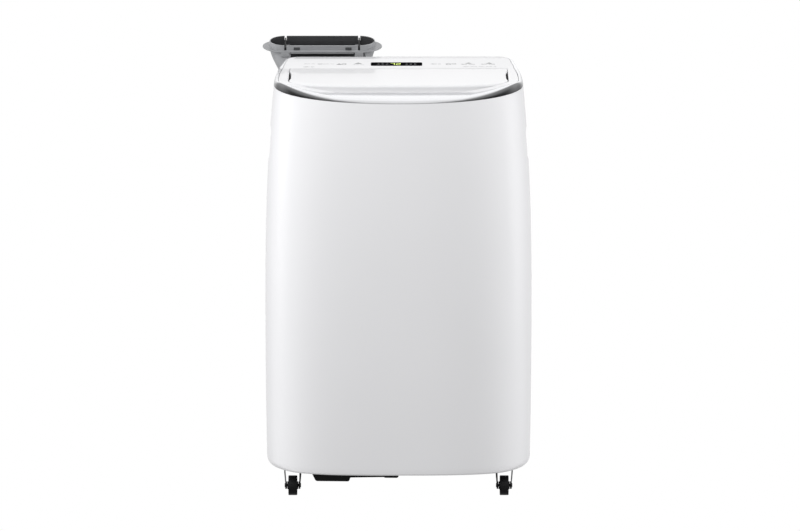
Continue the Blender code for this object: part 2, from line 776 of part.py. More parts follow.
def caster(name, x, axle_y, swivel_y):
    fork = add(f"{name}_fork", cylinder_mesh((x, swivel_y, 0.0475), (x, swivel_y, 0.0505), 0.0170, 20), STEEL)
    join(fork, cylinder_mesh((x, swivel_y, 0.0490), (x, swivel_y, 0.0620), 0.0062, 12))
    half, inner = FORK_WIDTH / 2, WHEEL_WIDTH / 2 + 0.0030
    join(fork, fork_leg(x - half, x - inner, axle_y, swivel_y), fork_leg(x + inner, x + half, axle_y, swivel_y))
    cut(fork, cylinder_mesh((x - 0.03, axle_y, WHEEL_R), (x + 0.03, axle_y, WHEEL_R), 0.0032, 12))
    ends = [(x + side * (half + 0.001), axle_y, WHEEL_R) for side in (-1, 1)]
    axle = add(f"{name}_axle", cylinder_mesh(*ends, 0.0029, 12), STEEL)
    w = WHEEL_WIDTH / 2
    profile = [(0.0032, w + 0.002), (0.0070, w + 0.002), (0.0070, w), (WHEEL_R - 0.0015, w), (WHEEL_R, w - 0.0015),
               (WHEEL_R, -w + 0.0015), (WHEEL_R - 0.0015, -w), (0.0070, -w), (0.0070, -w - 0.002),
               (0.0032, -w - 0.002)]
    turned(f"{name}_wheel", profile, DARK, (x, axle_y, WHEEL_R), (1, 0, 0), 20)
    set_origin(fork, (x, swivel_y, 0.0))
    set_origin(axle, (x, axle_y, WHEEL_R))


def slotted(name, rect, columns, rows, look):
    """Door plate with a field of horizontal slots."""
    (x0, z0), (x1, z1) = rect
    obj = add(name, boxes_mesh(((x0, BACK_Y - 0.0030, z0), (x1, BACK_Y, z1))), look)
    edge, bar = 0.012, 0.0055
    wide = (x1 - x0 - 2 * edge + bar) / columns
    tall = (z1 - z0 - 2 * edge + bar) / rows
    slots = []
    for c in range(columns):
        for r in range(rows):
            left, low = x0 + edge + c * wide, z0 + edge + r * tall
            slots.append(((left, BACK_Y - 0.01, low), (left + wide - bar, BACK_Y + 0.01, low + tall - bar)))
    cut(obj, boxes_mesh(*slots))
    set_origin(obj, ((x0 + x1) / 2, BACK_Y - 0.0005, z0 + 0.0005))


def filter_frame(name, rect, columns, rows):
    (x0, z0), (x1, z1) = rect
    inset = 0.006
    low, high = (x0 + inset, BACK_Y - 0.0060, z0 + inset), (x1 - inset, BACK_Y - 0.0034, z1 - inset)
    obj = add(name, boxes_mesh((low, high)), DARK)
    edge = 0.006
    wide = (high[0] - low[0] - edge) / columns
    tall = (high[2] - low[2] - edge) / rows
    holes = []
    for c in range(columns):
        for r in range(rows):
            left, down = low[0] + edge + c * wide, low[2] + edge + r * tall
            holes.append(((left, low[1] - 0.01, down), (left + wide - edge, high[1] + 0.01, down + tall - edge)))
    cut(obj, boxes_mesh(*holes))
    set_origin(obj, ((x0 + x1) / 2, BACK_Y - 0.0005, z0 + 0.0005))


def drain_plug(name, place):
    x, z = place
    profile = [(0.0, 0.0060), (0.0130, 0.0060), (0.0130, GAP), (0.0085, GAP), (0.0085, -0.0080), (0.0, -0.0080)]
    turned(name, profile, DARK, (x, BACK_Y, z), (0, 1, 0), 20)


def cord_gland():
    x, z = GLAND
    profile = [(0.0045, 0.0100), (0.0090, 0.0100), (0.0120, 0.0030), (0.0120, GAP), (0.0072, GAP), (0.0072, -0.0080),
               (0.0045, -0.0080)]
    turned("cord_gland", profile, DARK, (x, BACK_Y, z), (0, 1, 0), 20)


def refrigerant_parts():
    dome = [(0.0, 0.190), (0.030, 0.186), (0.050, 0.172), (0.056, 0.155), (0.056, 0.030), (0.050, 0.012),
            (0.030, 0.0), (0.0, 0.0)]
    turned("compressor", dome, DARK, (0.090, -0.110, 0.0660), (0, 0, 1), 24)
    can = [(0.0, 0.120), (0.014, 0.117), (0.022, 0.106), (0.022, 0.014), (0.014, 0.003), (0.0, 0.0)]
    turned("accumulator", can, DARK, (0.172, -0.110, 0.1200), (0, 0, 1), 16)
    pipe("suction_pipe", [(0.172, -0.110, 0.2410), (0.172, -0.110, 0.3300), (0.180, -0.090, 0.3500),
                          (0.205, 0.020, 0.3600), (0.205, 0.030, 0.3750), (0.205, 0.030, 0.4600),
                          (0.204, 0.060, 0.4800), (0.200, 0.082, 0.4820), (0.1785, 0.082, 0.4820)], 0.005, COPPER)
    pipe("discharge_pipe", [(0.090, -0.110, 0.2565), (0.090, -0.110, 0.2900), (0.100, -0.080, 0.3050),
                            (0.190, 0.050, 0.3000), (0.197, 0.085, 0.2800), (0.197, 0.089, 0.2300),
                            (0.1785, 0.089, 0.2300)], 0.004, COPPER)
    pipe("liquid_line", [(0.1785, 0.089, 0.1000), (0.203, 0.089, 0.1000), (0.209, 0.070, 0.1200),
                         (0.207, 0.040, 0.3000), (0.185, 0.030, 0.3400), (0.185, 0.030, 0.4300),
                         (0.192, 0.085, 0.4400), (0.1785, 0.085, 0.4400)], 0.003, COPPER)


def electrical_box():
    add("electrical_box", boxes_mesh(((-0.150, -0.235, 0.1200), (0.010, -0.160, 0.3300))), STEEL)


def build():
    front_shell()
    rear_shell()
    handles()
    trim_ring()
    top_panel()
    display_window()
    control_board()
    louver_flap()
    louver_motor()
    air_duct()
    vanes()
    vane_link()
    blower_housing()
    blower_wheel()
    blower_motor()
    divider_tray()
    evaporator()
    condenser()
    condenser_fan_housing()
    condenser_fan()
    condenser_motor()
    exhaust_collar()
    exhaust_elbow()
    hose()
    window_adapter()
    base_pan()
    sump_cover()
    for side, side_name in ((-1, "left"), (1, "right")):
        for end, (x, axle_y, swivel_y) in CASTERS.items():
            caster(f"{end}_{side_name}_caster", side * x, axle_y, swivel_y)
    slotted("upper_grille", UPPER_DOOR, 1, 18, WHITE)
    slotted("lower_grille", LOWER_DOOR, 2, 8, WHITE)
    filter_frame("upper_filter", UPPER_DOOR, 2, 3)
    filter_frame("lower_filter", LOWER_DOOR, 3, 1)
    drain_plug("upper_drain_plug", UPPER_PLUG)
    drain_plug("lower_drain_plug", LOWER_PLUG)
    cord_gland()
    refrigerant_parts()
    electrical_box()


build()
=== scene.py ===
"""Looks of the portable air conditioner: fine shells, trim, flap, hose, adapter and casters round the CAD frame."""

import json
import math

import bmesh
import bpy
from mathutils import Matrix, Vector


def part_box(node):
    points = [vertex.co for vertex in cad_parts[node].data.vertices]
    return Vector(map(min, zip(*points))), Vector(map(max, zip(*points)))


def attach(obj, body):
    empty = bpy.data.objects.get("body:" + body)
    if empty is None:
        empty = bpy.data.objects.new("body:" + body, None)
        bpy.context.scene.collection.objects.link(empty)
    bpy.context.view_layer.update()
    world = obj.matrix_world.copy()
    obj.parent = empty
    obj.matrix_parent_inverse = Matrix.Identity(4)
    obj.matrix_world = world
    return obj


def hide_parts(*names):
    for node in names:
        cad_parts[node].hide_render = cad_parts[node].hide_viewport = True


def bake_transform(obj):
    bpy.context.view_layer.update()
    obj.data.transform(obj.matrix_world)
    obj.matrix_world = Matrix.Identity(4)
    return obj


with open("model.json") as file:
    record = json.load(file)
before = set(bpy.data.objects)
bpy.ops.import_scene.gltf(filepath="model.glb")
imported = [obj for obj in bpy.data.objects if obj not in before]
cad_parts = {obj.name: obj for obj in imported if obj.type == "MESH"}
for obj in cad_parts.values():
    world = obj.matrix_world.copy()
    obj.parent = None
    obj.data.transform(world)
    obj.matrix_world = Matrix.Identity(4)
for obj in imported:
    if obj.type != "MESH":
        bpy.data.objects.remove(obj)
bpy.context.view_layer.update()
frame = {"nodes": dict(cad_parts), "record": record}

# Camera: a long lens a little above level
CAMERA_DISTANCE = 15.0
CAMERA_ELEVATION = math.radians(7.6)
CAMERA_AIM = Vector((0.0028, -0.10, 0.4178))
VIEW_WIDTH = 1.492
SENSOR = 36.0

# Casing, as in the CAD
WALL = 0.003
HALF_WIDTH = 0.249
BACK_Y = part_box("rear_shell")[1][1]
SEAM_Y = 0.040
SEAM_GAP = 0.0005
WIDEST_Y = -0.095
SHELL_BOTTOM_Z = 0.0495
SIDE_ROLL, FRONT_ROLL = 0.014, 0.004
REAR_CORNER, REAR_TAPER = 0.028, 0.323
SEAM_Z, STRIP_SLOPE, DECK_SLOPE = 0.7731, 0.133, 0.0305
TRIM_SIDE_Z, TRIM_SLOPE = 0.7588, 0.11
FLAP_HALF_WIDTH, FLAP_FRONT_DEPTH, FLAP_BACK_Y = 0.2043, 0.0926, 0.0383
FLAP_GAP = 0.0012
DECK_HALF_WIDTH, DECK_FRONT_DEPTH, DECK_POWER = 0.2243, 0.097, 4

# Exhaust side, as in the CAD
DUCT_X = -0.145
HOSE_R, HOSE_Y = 0.0735, 0.222
OUTLET_Z, ELBOW_BEND = 0.320, 0.0765
ADAPTER_TILT = math.radians(12)
MOUTH = Vector((DUCT_X, 0.2025, 0.809))
COLLAR_H, FUNNEL_H = 0.010, 0.069
UP = Vector((0, -math.sin(ADAPTER_TILT), math.cos(ADAPTER_TILT)))
BACK = Vector((0, math.cos(ADAPTER_TILT), math.sin(ADAPTER_TILT)))

# Flange and collar of the window adapter: half the straight part, then the radius of the ends
COLLAR_STRAIGHT, COLLAR_REACH = 0.0695, 0.0310
FLANGE_STRAIGHT = 0.0735
ADAPTER_WALL = 0.0025

# Casters
FORK_SPAN = 0.0325
CASTER_PLATE_TOP = 0.0505
WHEEL_RADIUS = 0.0185

# Light: strengths of the room, then powers of the lamps in watts
DIFFUSE_BASE, DIFFUSE_SIDE, DIFFUSE_LEFT, FLOOR_SHARE = 0.70, 0.05, 0.12, 0.76
KEY_POWER, LEFT_RIM, RIGHT_RIM = 29.0, 29.0, 36.0

# Mesh density of the casing, and the angle in degrees above which an edge stays sharp
SIDE_STEPS, FRONT_STEPS, REAR_SIDE_STEPS, CORNER_STEPS, BACK_STEPS = 12, 96, 6, 10, 24
ROLL_STEPS, WALL_STEPS = 10, 30
LAST_FRONT = 2 * SIDE_STEPS + FRONT_STEPS
SHARP_ANGLE = 38


# Materials


def node(tree, kind, **values):
    made = tree.nodes.new(kind)
    for key, value in values.items():
        if key in made.inputs:
            made.inputs[key].default_value = value
        else:
            setattr(made, key, value)
    return made


def finish(name, colour, roughness, vary=0.02, rough_vary=0.05, scale=40.0, grain=900.0, bump=0.02, stretch=(1, 1, 1),
           **shader_values):
    """Principled finish whose colour and roughness drift a little, with a fine moulded or drawn grain."""
    material = bpy.data.materials.new(name)
    material.use_nodes = True
    tree = material.node_tree
    shader = tree.nodes["Principled BSDF"]
    for key, value in shader_values.items():
        shader.inputs[key.replace("_", " ").title().replace("Ior", "IOR")].default_value = value
    place = node(tree, "ShaderNodeTexCoord")
    mapping = node(tree, "ShaderNodeMapping")
    mapping.inputs["Scale"].default_value = stretch
    tree.links.new(place.outputs["Object"], mapping.inputs["Vector"])
    drift = node(tree, "ShaderNodeTexNoise", Scale=scale, Detail=4.0)
    tree.links.new(mapping.outputs["Vector"], drift.inputs["Vector"])
    ramp = node(tree, "ShaderNodeValToRGB")
    ramp.color_ramp.elements[0].position, ramp.color_ramp.elements[1].position = 0.3, 0.7
    ramp.color_ramp.elements[0].color = (*[c * (1 - vary) for c in colour], 1)
    ramp.color_ramp.elements[1].color = (*[min(1, c * (1 + vary)) for c in colour], 1)
    tree.links.new(drift.outputs["Fac"], ramp.inputs["Fac"])
    tree.links.new(ramp.outputs["Color"], shader.inputs["Base Color"])
    spread = node(tree, "ShaderNodeMapRange")
    spread.inputs["To Min"].default_value = max(0.02, roughness - rough_vary)
    spread.inputs["To Max"].default_value = roughness + rough_vary
    tree.links.new(drift.outputs["Fac"], spread.inputs["Value"])
    tree.links.new(spread.outputs["Result"], shader.inputs["Roughness"])
    fine = node(tree, "ShaderNodeTexNoise", Scale=grain, Detail=2.0)
    tree.links.new(mapping.outputs["Vector"], fine.inputs["Vector"])
    relief = node(tree, "ShaderNodeBump", Strength=bump, Distance=0.0005)
    tree.links.new(fine.outputs["Fac"], relief.inputs["Height"])
    tree.links.new(relief.outputs["Normal"], shader.inputs["Normal"])
    return material


WHITE = finish("white_gloss", (0.80, 0.80, 0.815), 0.30, vary=0.006, scale=6, grain=700, bump=0.015, coat_weight=0.25)
WHITE_SATIN = finish("white_satin", (0.78, 0.78, 0.79), 0.45, vary=0.01, grain=1400, bump=0.05)
SILVER = finish("trim_silver", (0.74, 0.745, 0.76), 0.20, vary=0.02, grain=1600, bump=0.03, metallic=1.0)
GREY = finish("adapter_grey", (0.30, 0.305, 0.315), 0.42, vary=0.05, grain=1500, bump=0.12)
# Dark copy of the adapter's grey plastic: painted shade for its inside, its slots and its snap lugs
SHADE_GREY = finish("adapter_painted_shade", (0.060, 0.061, 0.064), 0.55, vary=0.08, grain=1500, bump=0.12)
# Painted shade: the flange's shadow on the funnel's front, set into a shallow pocket
FLANGE_SHADE_GREY = finish("adapter_flange_shade_band", (0.105, 0.107, 0.112), 0.5, vary=0.08, grain=1500, bump=0.1)
# Near-black for sheets in the adapter's slots: painted shade
SLOT_SHADE_BLACK = finish("slot_shade_black", (0.006, 0.006, 0.007), 0.7, vary=0.2, bump=0.1)
HOSE_GREY = finish("hose_grey", (0.34, 0.345, 0.35), 0.55, vary=0.06, grain=1100, bump=0.15)
BLACK = finish("black_moulding", (0.012, 0.012, 0.013), 0.42, vary=0.2, grain=1300, bump=0.12)
RUBBER = finish("wheel_black", (0.010, 0.010, 0.011), 0.55, vary=0.25, grain=900, bump=0.2)
STEEL = finish("caster_steel", (0.48, 0.49, 0.50), 0.33, vary=0.08, grain=700, bump=0.08, metallic=1.0)
GLASS = finish("display_black", (0.006, 0.006, 0.007), 0.35, vary=0.1, bump=0.0, specular_ior_level=0.0)
BOARD = finish("board_green", (0.03, 0.16, 0.07), 0.5, vary=0.25, scale=220, bump=0.2)
FINS = finish("coil_fins", (0.62, 0.63, 0.64), 0.38, vary=0.12, stretch=(60, 1, 1), scale=12, bump=0.4, metallic=1.0)
COPPER = finish("copper_tube", (0.70, 0.33, 0.19), 0.30, vary=0.15, bump=0.05, metallic=1.0)
MESH = finish("filter_mesh", (0.045, 0.046, 0.05), 0.7, vary=0.3, grain=2600, bump=0.6)
# Dark grey of the printed marks, also laid on the seam groove behind the flap as painted shade
PRINT_AND_GROOVE_SHADE = finish("printed_grey_and_groove_shade", (0.16, 0.165, 0.17), 0.5, vary=0.04, bump=0.02, specular_ior_level=0.1)
FAINT_PRINT = finish("printed_faint", (0.36, 0.365, 0.37), 0.5, vary=0.03, bump=0.02, specular_ior_level=0.1)


def glow(name, colour, strength):
    material = finish(name, [c * 0.5 for c in colour], 0.4)
    shader = material.node_tree.nodes["Principled BSDF"]
    shader.inputs["Emission Color"].default_value = (*colour, 1)
    shader.inputs["Emission Strength"].default_value = strength
    return material


DIGITS = glow("lit_digits", (0.62, 0.80, 0.12), 0.9)
DIM_MARK = glow("dim_marks", (0.30, 0.31, 0.32), 0.12)


# Mesh helpers


def smooth(low, high, value):
    t = min(1.0, max(0.0, (value - low) / (high - low)))
    return t * t * (3 - 2 * t)


def mesh_from(bm):
    mesh = bpy.data.meshes.new("shape")
    bm.to_mesh(mesh)
    bm.free()
    return mesh


def piece(name, mesh, material, body="cabinet", replaces=(), angle=SHARP_ANGLE):
    if material:
        mesh.materials.append(material)
    mesh.shade_smooth()
    mesh.set_sharp_from_angle(angle=math.radians(angle))
    obj = bpy.data.objects.new(name, mesh)
    bpy.context.scene.collection.objects.link(obj)
    if body:
        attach(obj, body)
    if replaces:
        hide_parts(*replaces)
    return obj


def apply_modifiers(obj):
    graph = bpy.context.evaluated_depsgraph_get()
    made = bpy.data.meshes.new_from_object(obj.evaluated_get(graph), depsgraph=graph)
    obj.modifiers.clear()
    made.set_sharp_from_angle(angle=math.radians(SHARP_ANGLE))
    obj.data = made


def bevelled(mesh, width, segments=2, angle=40):
    """The mesh with its sharp edges rounded."""
    bm = bmesh.new()
    bm.from_mesh(mesh)
    bmesh.ops.recalc_face_normals(bm, faces=bm.faces)
    edges = [e for e in bm.edges if len(e.link_faces) == 2 and e.calc_face_angle(0) > math.radians(angle)]
    bmesh.ops.bevel(bm, geom=edges, offset=width, segments=segments, profile=0.5, affect="EDGES", clamp_overlap=True)
    bm.to_mesh(mesh)
    bm.free()
    return mesh


def along(axis):
    return Vector((0, 0, 1)).rotation_difference(Vector(axis)).to_matrix().to_4x4()


def boxes_mesh(*boxes):
    bm = bmesh.new()
    for low, high in boxes:
        size, centre = Vector(high) - Vector(low), (Vector(high) + Vector(low)) / 2
        bmesh.ops.create_cube(bm, size=1, matrix=Matrix.Translation(centre) @ Matrix.Diagonal((*size, 1)))
    return mesh_from(bm)


def cylinder_mesh(start, end, radius, sides=48):
    start, end = Vector(start), Vector(end)
    bm = bmesh.new()
    matrix = Matrix.Translation((start + end) / 2) @ along((end - start).normalized())
    bmesh.ops.create_cone(
        bm, cap_ends=True, segments=sides, radius1=radius, radius2=radius, depth=(end - start).length, matrix=matrix
    )
    return mesh_from(bm)


def prism_mesh(outline, low, high, place):
    """Prism over a flat outline: place turns (u, v, w) to a point."""
    bm = bmesh.new()
    first = [bm.verts.new(place(u, v, low)) for u, v in outline]
    last = [bm.verts.new(place(u, v, high)) for u, v in outline]
    bm.faces.new(first)
    bm.faces.new(last)
    for k in range(len(outline)):
        n = (k + 1) % len(outline)
        bm.faces.new((first[k], first[n], last[n], last[k]))
    bmesh.ops.recalc_face_normals(bm, faces=bm.faces)
    return mesh_from(bm)


def grid_mesh(rows, close_rows=False, close_columns=True):
    bm = bmesh.new()
    made = [[bm.verts.new(point) for point in row] for row in rows]
    width = len(rows[0])
    for r in range(len(rows) if close_rows else len(rows) - 1):
        low, high = made[r], made[(r + 1) % len(rows)]
        for c in range(width if close_columns else width - 1):
            n = (c + 1) % width
            bm.faces.new((low[c], low[n], high[n], high[c]))
    if close_rows:
        bmesh.ops.recalc_face_normals(bm, faces=bm.faces)
    return mesh_from(bm)


def turned_mesh(profile, start, axis, sides=64):
    """Closed profile of (radius, height) turned about an axis."""
    place = Matrix.Translation(start) @ along(axis)
    rows = []
    for k in range(sides):
        angle = 2 * math.pi * k / sides
        rows.append([place @ Vector((r * math.cos(angle), r * math.sin(angle), h)) for r, h in profile])
    mesh = grid_mesh(rows, close_rows=True)
    bm = bmesh.new()
    bm.from_mesh(mesh)
    bmesh.ops.remove_doubles(bm, verts=bm.verts, dist=0.000001)
    bmesh.ops.recalc_face_normals(bm, faces=bm.faces)
    bm.to_mesh(mesh)
    bm.free()
    return mesh


def boolean(obj, mesh, operation="DIFFERENCE"):
    """Cuts or joins at once, and keeps no helper."""
    other = bpy.data.objects.new("helper", mesh)
    bpy.context.scene.collection.objects.link(other)
    modifier = obj.modifiers.new("join", "BOOLEAN")
    modifier.operation, modifier.object = operation, other
    modifier.material_mode = "TRANSFER" if mesh.materials else "INDEX"
    apply_modifiers(obj)
    bpy.data.objects.remove(other)


def solidify(obj, thickness):
    modifier = obj.modifiers.new("wall", "SOLIDIFY")
    modifier.thickness, modifier.offset, modifier.use_even_offset = thickness, -1, True
    apply_modifiers(obj)


def merged(*meshes):
    bm = bmesh.new()
    for mesh in meshes:
        bm.from_mesh(mesh)
    return mesh_from(bm)


# The casing's plan and heights, as in the CAD


def plan(half_width, front_depth, power, back=BACK_Y, corner=REAR_CORNER, taper=REAR_TAPER, seam=SEAM_Y):
    """Outline seen from above: tapering sides, a bowed front, and a flat back with rounded corners."""

    def side(y):
        return half_width - taper * (y - WIDEST_Y) ** 2

    turn = back - corner
    slope = math.atan(2 * taper * (turn - WIDEST_Y))
    points = []
    for k in range(SIDE_STEPS):
        y = seam + (WIDEST_Y - seam) * k / SIDE_STEPS
        points.append((-side(y), y))
    for k in range(FRONT_STEPS + 1):
        angle = math.pi * (1 - k / FRONT_STEPS)
        across, forward = math.cos(angle), math.sin(angle)
        x = half_width * math.copysign(abs(across) ** (2 / power), across)
        points.append((x, WIDEST_Y - front_depth * abs(forward) ** (2 / power)))
    points += [(-x, y) for x, y in reversed(points[:SIDE_STEPS])]
    right = []
    for k in range(1, REAR_SIDE_STEPS):
        y = seam + (turn - seam) * k / REAR_SIDE_STEPS
        right.append((side(y), y))
    centre = side(turn) - corner
    for k in range(CORNER_STEPS + 1):
        angle = slope + (math.pi / 2 - slope) * k / CORNER_STEPS
        right.append((centre + corner * math.cos(angle), turn + corner * math.sin(angle)))
    back_half = right[-1][0]
    straight = [(back_half * (1 - 2 * k / BACK_STEPS), turn + corner) for k in range(1, BACK_STEPS)]
    return points + right + straight + [(-x, y) for x, y in reversed(right)]


def shell_size(z):
    """Half width, front depth and front power of the plan at a height."""
    rise, drop, up = max(0.0, z - 0.35) / 0.41, max(0.0, 0.35 - z) / 0.30, max(0.0, z) / 0.75
    return HALF_WIDTH - 0.0167 * rise**2.4 - 0.003 * drop**2, 0.195 - 0.028 * up**1.5, 3.2 - 1.05 * up


def deck_z(y):
    return SEAM_Z + (STRIP_SLOPE if y > SEAM_Y else DECK_SLOPE) * (y - SEAM_Y)


def trim_low_z(y):
    near = smooth(-0.05, 0.12, y)
    return (TRIM_SIDE_Z + TRIM_SLOPE * (y - WIDEST_Y)) * (1 - near) + (deck_z(y) - 0.003) * near


def rim_z(y):
    return deck_z(y) - 0.0125 * min(1.0, max(0.0, (-0.140 - y) / 0.047)) ** 3.5


def outward(points):
    made = []
    for k, _ in enumerate(points):
        (x0, y0), (x1, y1) = points[k - 1], points[(k + 1) % len(points)]
        made.append(Vector((y1 - y0, x0 - x1)).normalized())
    return made


def shell_rows():
    """Rings of the casing from its rolled bottom edge up to the trim."""
    rows = []
    base = plan(*shell_size(SHELL_BOTTOM_Z + SIDE_ROLL * 0.5))
    facing = outward(base)
    for step in range(ROLL_STEPS):
        angle = math.radians(90) * step / ROLL_STEPS
        row = []
        for (x, y), normal in zip(base, facing):
            roll = FRONT_ROLL + (SIDE_ROLL - FRONT_ROLL) * smooth(0.50, 1.0, abs(normal.x))
            inset = roll * (1 - math.sin(angle))
            row.append(Vector((x - normal.x * inset, y - normal.y * inset,
                               SHELL_BOTTOM_Z + roll * (1 - math.cos(angle)))))
        rows.append(row)
    start = SHELL_BOTTOM_Z + SIDE_ROLL
    tops = [y for _, y in plan(*shell_size(TRIM_SIDE_Z))]
    for step in range(WALL_STEPS + 1):
        share = step / WALL_STEPS
        row, cache = [], {}
        for k, top_y in enumerate(tops):
            z = start + share * (trim_low_z(top_y) - SEAM_GAP - start)
            key = round(z, 6)
            if key not in cache:
                cache[key] = plan(*shell_size(z))
            row.append(Vector((*cache[key][k], z)))
        rows.append(row)
    return rows


def half_of(rows, front):
    """The front or rear part of each ring, drawn back from the seam."""
    made = []
    for row in rows:
        picked = row[: LAST_FRONT + 1] if front else row[LAST_FRONT:] + row[:1]
        picked = [point.copy() for point in picked]
        shift = Vector((0, -SEAM_GAP / 2 if front else SEAM_GAP / 2, 0))
        picked[0] += shift
        picked[-1] += shift
        made.append(picked)
    return made


def rounded_rect(x0, z0, x1, z1, radius, steps=6):
    corners = ((x1 - radius, z0 + radius, -90), (x1 - radius, z1 - radius, 0), (x0 + radius, z1 - radius, 90),
               (x0 + radius, z0 + radius, 180))
    return [
        (x + radius * math.cos(math.radians(start + 90 * k / steps)),
         z + radius * math.sin(math.radians(start + 90 * k / steps)))
        for x, z, start in corners for k in range(steps + 1)
    ]


def across_y(u, v, w):
    return (u, w, v)


def across_x(u, v, w):
    return (w, u, v)


def flat_z(u, v, w):
    return (u, v, w)


def grow_box(node_name, grow):
    """The node's box with every side moved out, as six numbers."""
    low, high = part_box(node_name)
    return low[0] - grow, low[1] - grow, low[2] - grow, high[0] + grow, high[1] + grow, high[2] + grow


def casing():
    rows = shell_rows()
    front = piece("front_shell_fine", grid_mesh(half_of(rows, True), close_columns=False), WHITE,
                  replaces=["front_shell"])
    solidify(front, WALL)
    for side, name in ((-1, "left_handle"), (1, "right_handle")):
        _, y0, z0, _, y1, z1 = grow_box(name, 0.0003)
        near, far = sorted((side * 0.19, side * 0.30))
        boolean(front, prism_mesh(rounded_rect(y0, z0, y1, z1, 0.014), near, far, across_x))
    rear = piece("rear_shell_fine", grid_mesh(half_of(rows, False), close_columns=False), WHITE,
                 replaces=["rear_shell"])
    solidify(rear, WALL)
    near, far = BACK_Y - 0.02, BACK_Y + 0.02
    for name in ("upper_grille", "lower_grille"):
        x0, _, z0, x1, _, z1 = grow_box(name, 0.0005)
        boolean(rear, prism_mesh(rounded_rect(x0, z0, x1, z1, 0.006), near, far, across_y))
    boolean(rear, cylinder_mesh((DUCT_X, near, OUTLET_Z), (DUCT_X, far, OUTLET_Z), 0.0715, 64))
    for name, radius in (("upper_drain_plug", 0.009), ("lower_drain_plug", 0.009), ("cord_gland", 0.0075)):
        low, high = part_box(name)
        x, z = (low[0] + high[0]) / 2, (low[2] + high[2]) / 2
        boolean(rear, cylinder_mesh((x, near, z), (x, far, z), radius))


def handles():
    """Finger pockets: rounded cups whose rims follow the casing."""
    for side, name in ((-1, "left_handle"), (1, "right_handle")):
        x0, y0, z0, x1, y1, z1 = grow_box(name, 0.0)
        outer_x, inner_x = (x1, x0) if side > 0 else (x0, x1)
        outside = prism_mesh(rounded_rect(y0, z0, y1, z1, 0.0137, 8), *sorted((outer_x, inner_x)), across_x)
        cup = piece(f"{name}_cup", bevelled(outside, 0.0006), WHITE_SATIN, replaces=[name])
        floor_x = inner_x + side * 0.0025
        hollow = prism_mesh(rounded_rect(y0 + 0.0025, z0 + 0.0025, y1 - 0.0025, z1 - 0.0025, 0.0115, 8),
                            *sorted((floor_x, outer_x + side * 0.02)), across_x)
        boolean(cup, hollow)


def trim_band():
    """Plated band: a broad bull-nosed shelf at the front that narrows along the sides and fades at the back."""
    outer = plan(*shell_size(TRIM_SIDE_Z))
    inner = plan(DECK_HALF_WIDTH, DECK_FRONT_DEPTH, DECK_POWER, back=BACK_Y - 0.0045, corner=REAR_CORNER - 0.003)
    steps = 12
    rows = [[] for _ in range(steps + 5)]
    for k, ((ox, oy), (ix, iy)) in enumerate(zip(outer, inner)):
        low = Vector((*plan(*shell_size(trim_low_z(oy)))[k], trim_low_z(oy)))
        high = Vector((ix, iy, rim_z(iy)))
        across = Vector((high.x - low.x, high.y - low.y, 0))
        rise = high.z - low.z
        for step in range(steps + 1):
            turn = math.pi / 2 * step / steps
            forward = 1 - math.cos(turn)
            lift = math.sin(turn) ** 0.9
            rows[step].append(low + across * (forward * 0.97 + 0.03 * step / steps) + Vector((0, 0, rise * lift)))
        rows[steps + 1].append(high - Vector((0, 0, 0.0022)))
        rows[steps + 2].append(low + across * 0.5 + Vector((0, 0, rise * 0.15)))
        rows[steps + 3].append(low + across.normalized() * 0.0020 + Vector((0, 0, 0.0002)))
        rows[steps + 4].append(low + across.normalized() * 0.0006)
    piece("trim_band", grid_mesh(rows, close_rows=True), SILVER, replaces=["trim_ring"], angle=50)


def opening_plan(grow=0.0):
    return plan(FLAP_HALF_WIDTH + grow, FLAP_FRONT_DEPTH + grow, 4, back=FLAP_BACK_Y + grow, corner=0.004, taper=0.0,
                seam=0.0)


def deck():
    """White top: rounded rim outside, rounded lip round the flap, and the sloping control strip behind."""
    outer = plan(DECK_HALF_WIDTH - 0.0005, DECK_FRONT_DEPTH - 0.0005, DECK_POWER, back=BACK_Y - 0.0050,
                 corner=REAR_CORNER - 0.0035)
    inner = opening_plan(FLAP_GAP - 0.0006)
    rows = [[] for _ in range(12)]
    for (ox, oy), (ix, iy) in zip(outer, inner):
        start, end = Vector((ox, oy, 0)), Vector((ix, iy, 0))
        width = (end - start).length
        way = (end - start) / width
        steps = [(0, 0.0009), (0.0003, 0.0004), (0.0009, 0.0)]
        steps += [(0.0009 + (width - 0.0030) * k / 5, 0.0) for k in range(1, 6)]
        steps += [(width - 0.0013, 0.0002), (width - 0.0007, 0.0007), (width - 0.0002, 0.0014), (width, 0.0022)]
        for row, (far, drop) in zip(rows, steps):
            point = start + way * far
            row.append(Vector((point.x, point.y, rim_z(point.y) - drop)))
    mesh = grid_mesh(rows)
    mesh.materials.append(WHITE)
    mesh.materials.append(PRINT_AND_GROOVE_SHADE)
    # The rounded lip behind the flap takes the dark print grey: painted shade in the seam groove between flap and
    # control strip
    for polygon in mesh.polygons:
        if polygon.index // len(outer) >= 8 and polygon.center.y > FLAP_BACK_Y - 0.001:
            polygon.material_index = 1
    obj = piece("deck", mesh, None, replaces=["top_panel"])
    solidify(obj, 0.0024)
    boolean(obj, window_plate(0.0003, 0.02, 0.02))


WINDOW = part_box("display_window")
WINDOW_X = (WINDOW[0][0] + WINDOW[1][0]) / 2
WINDOW_Y = (WINDOW[0][1] + WINDOW[1][1]) / 2
WINDOW_LONG = WINDOW[1][0] - WINDOW[0][0]
WINDOW_WIDE, WINDOW_CORNER = 0.0280, 0.0042
STRIP_TILT = math.atan(STRIP_SLOPE)


def on_strip(x, y, lift=0.0):
    """Frame whose XY plane lies in the control strip at a place."""
    turn = Matrix.Rotation(STRIP_TILT, 4, "X")
    return Matrix.Translation((x, y, deck_z(y))) @ turn @ Matrix.Translation((0, 0, lift))


def window_plate(grow, below, above):
    half, wide = WINDOW_LONG / 2 + grow, WINDOW_WIDE / 2 + grow
    mesh = prism_mesh(rounded_rect(-half, -wide, half, wide, WINDOW_CORNER + grow, 8), -below, above, flat_z)
    mesh.transform(on_strip(WINDOW_X, WINDOW_Y))
    return mesh


SEGMENTS = {"7": "abc", "2": "abged"}


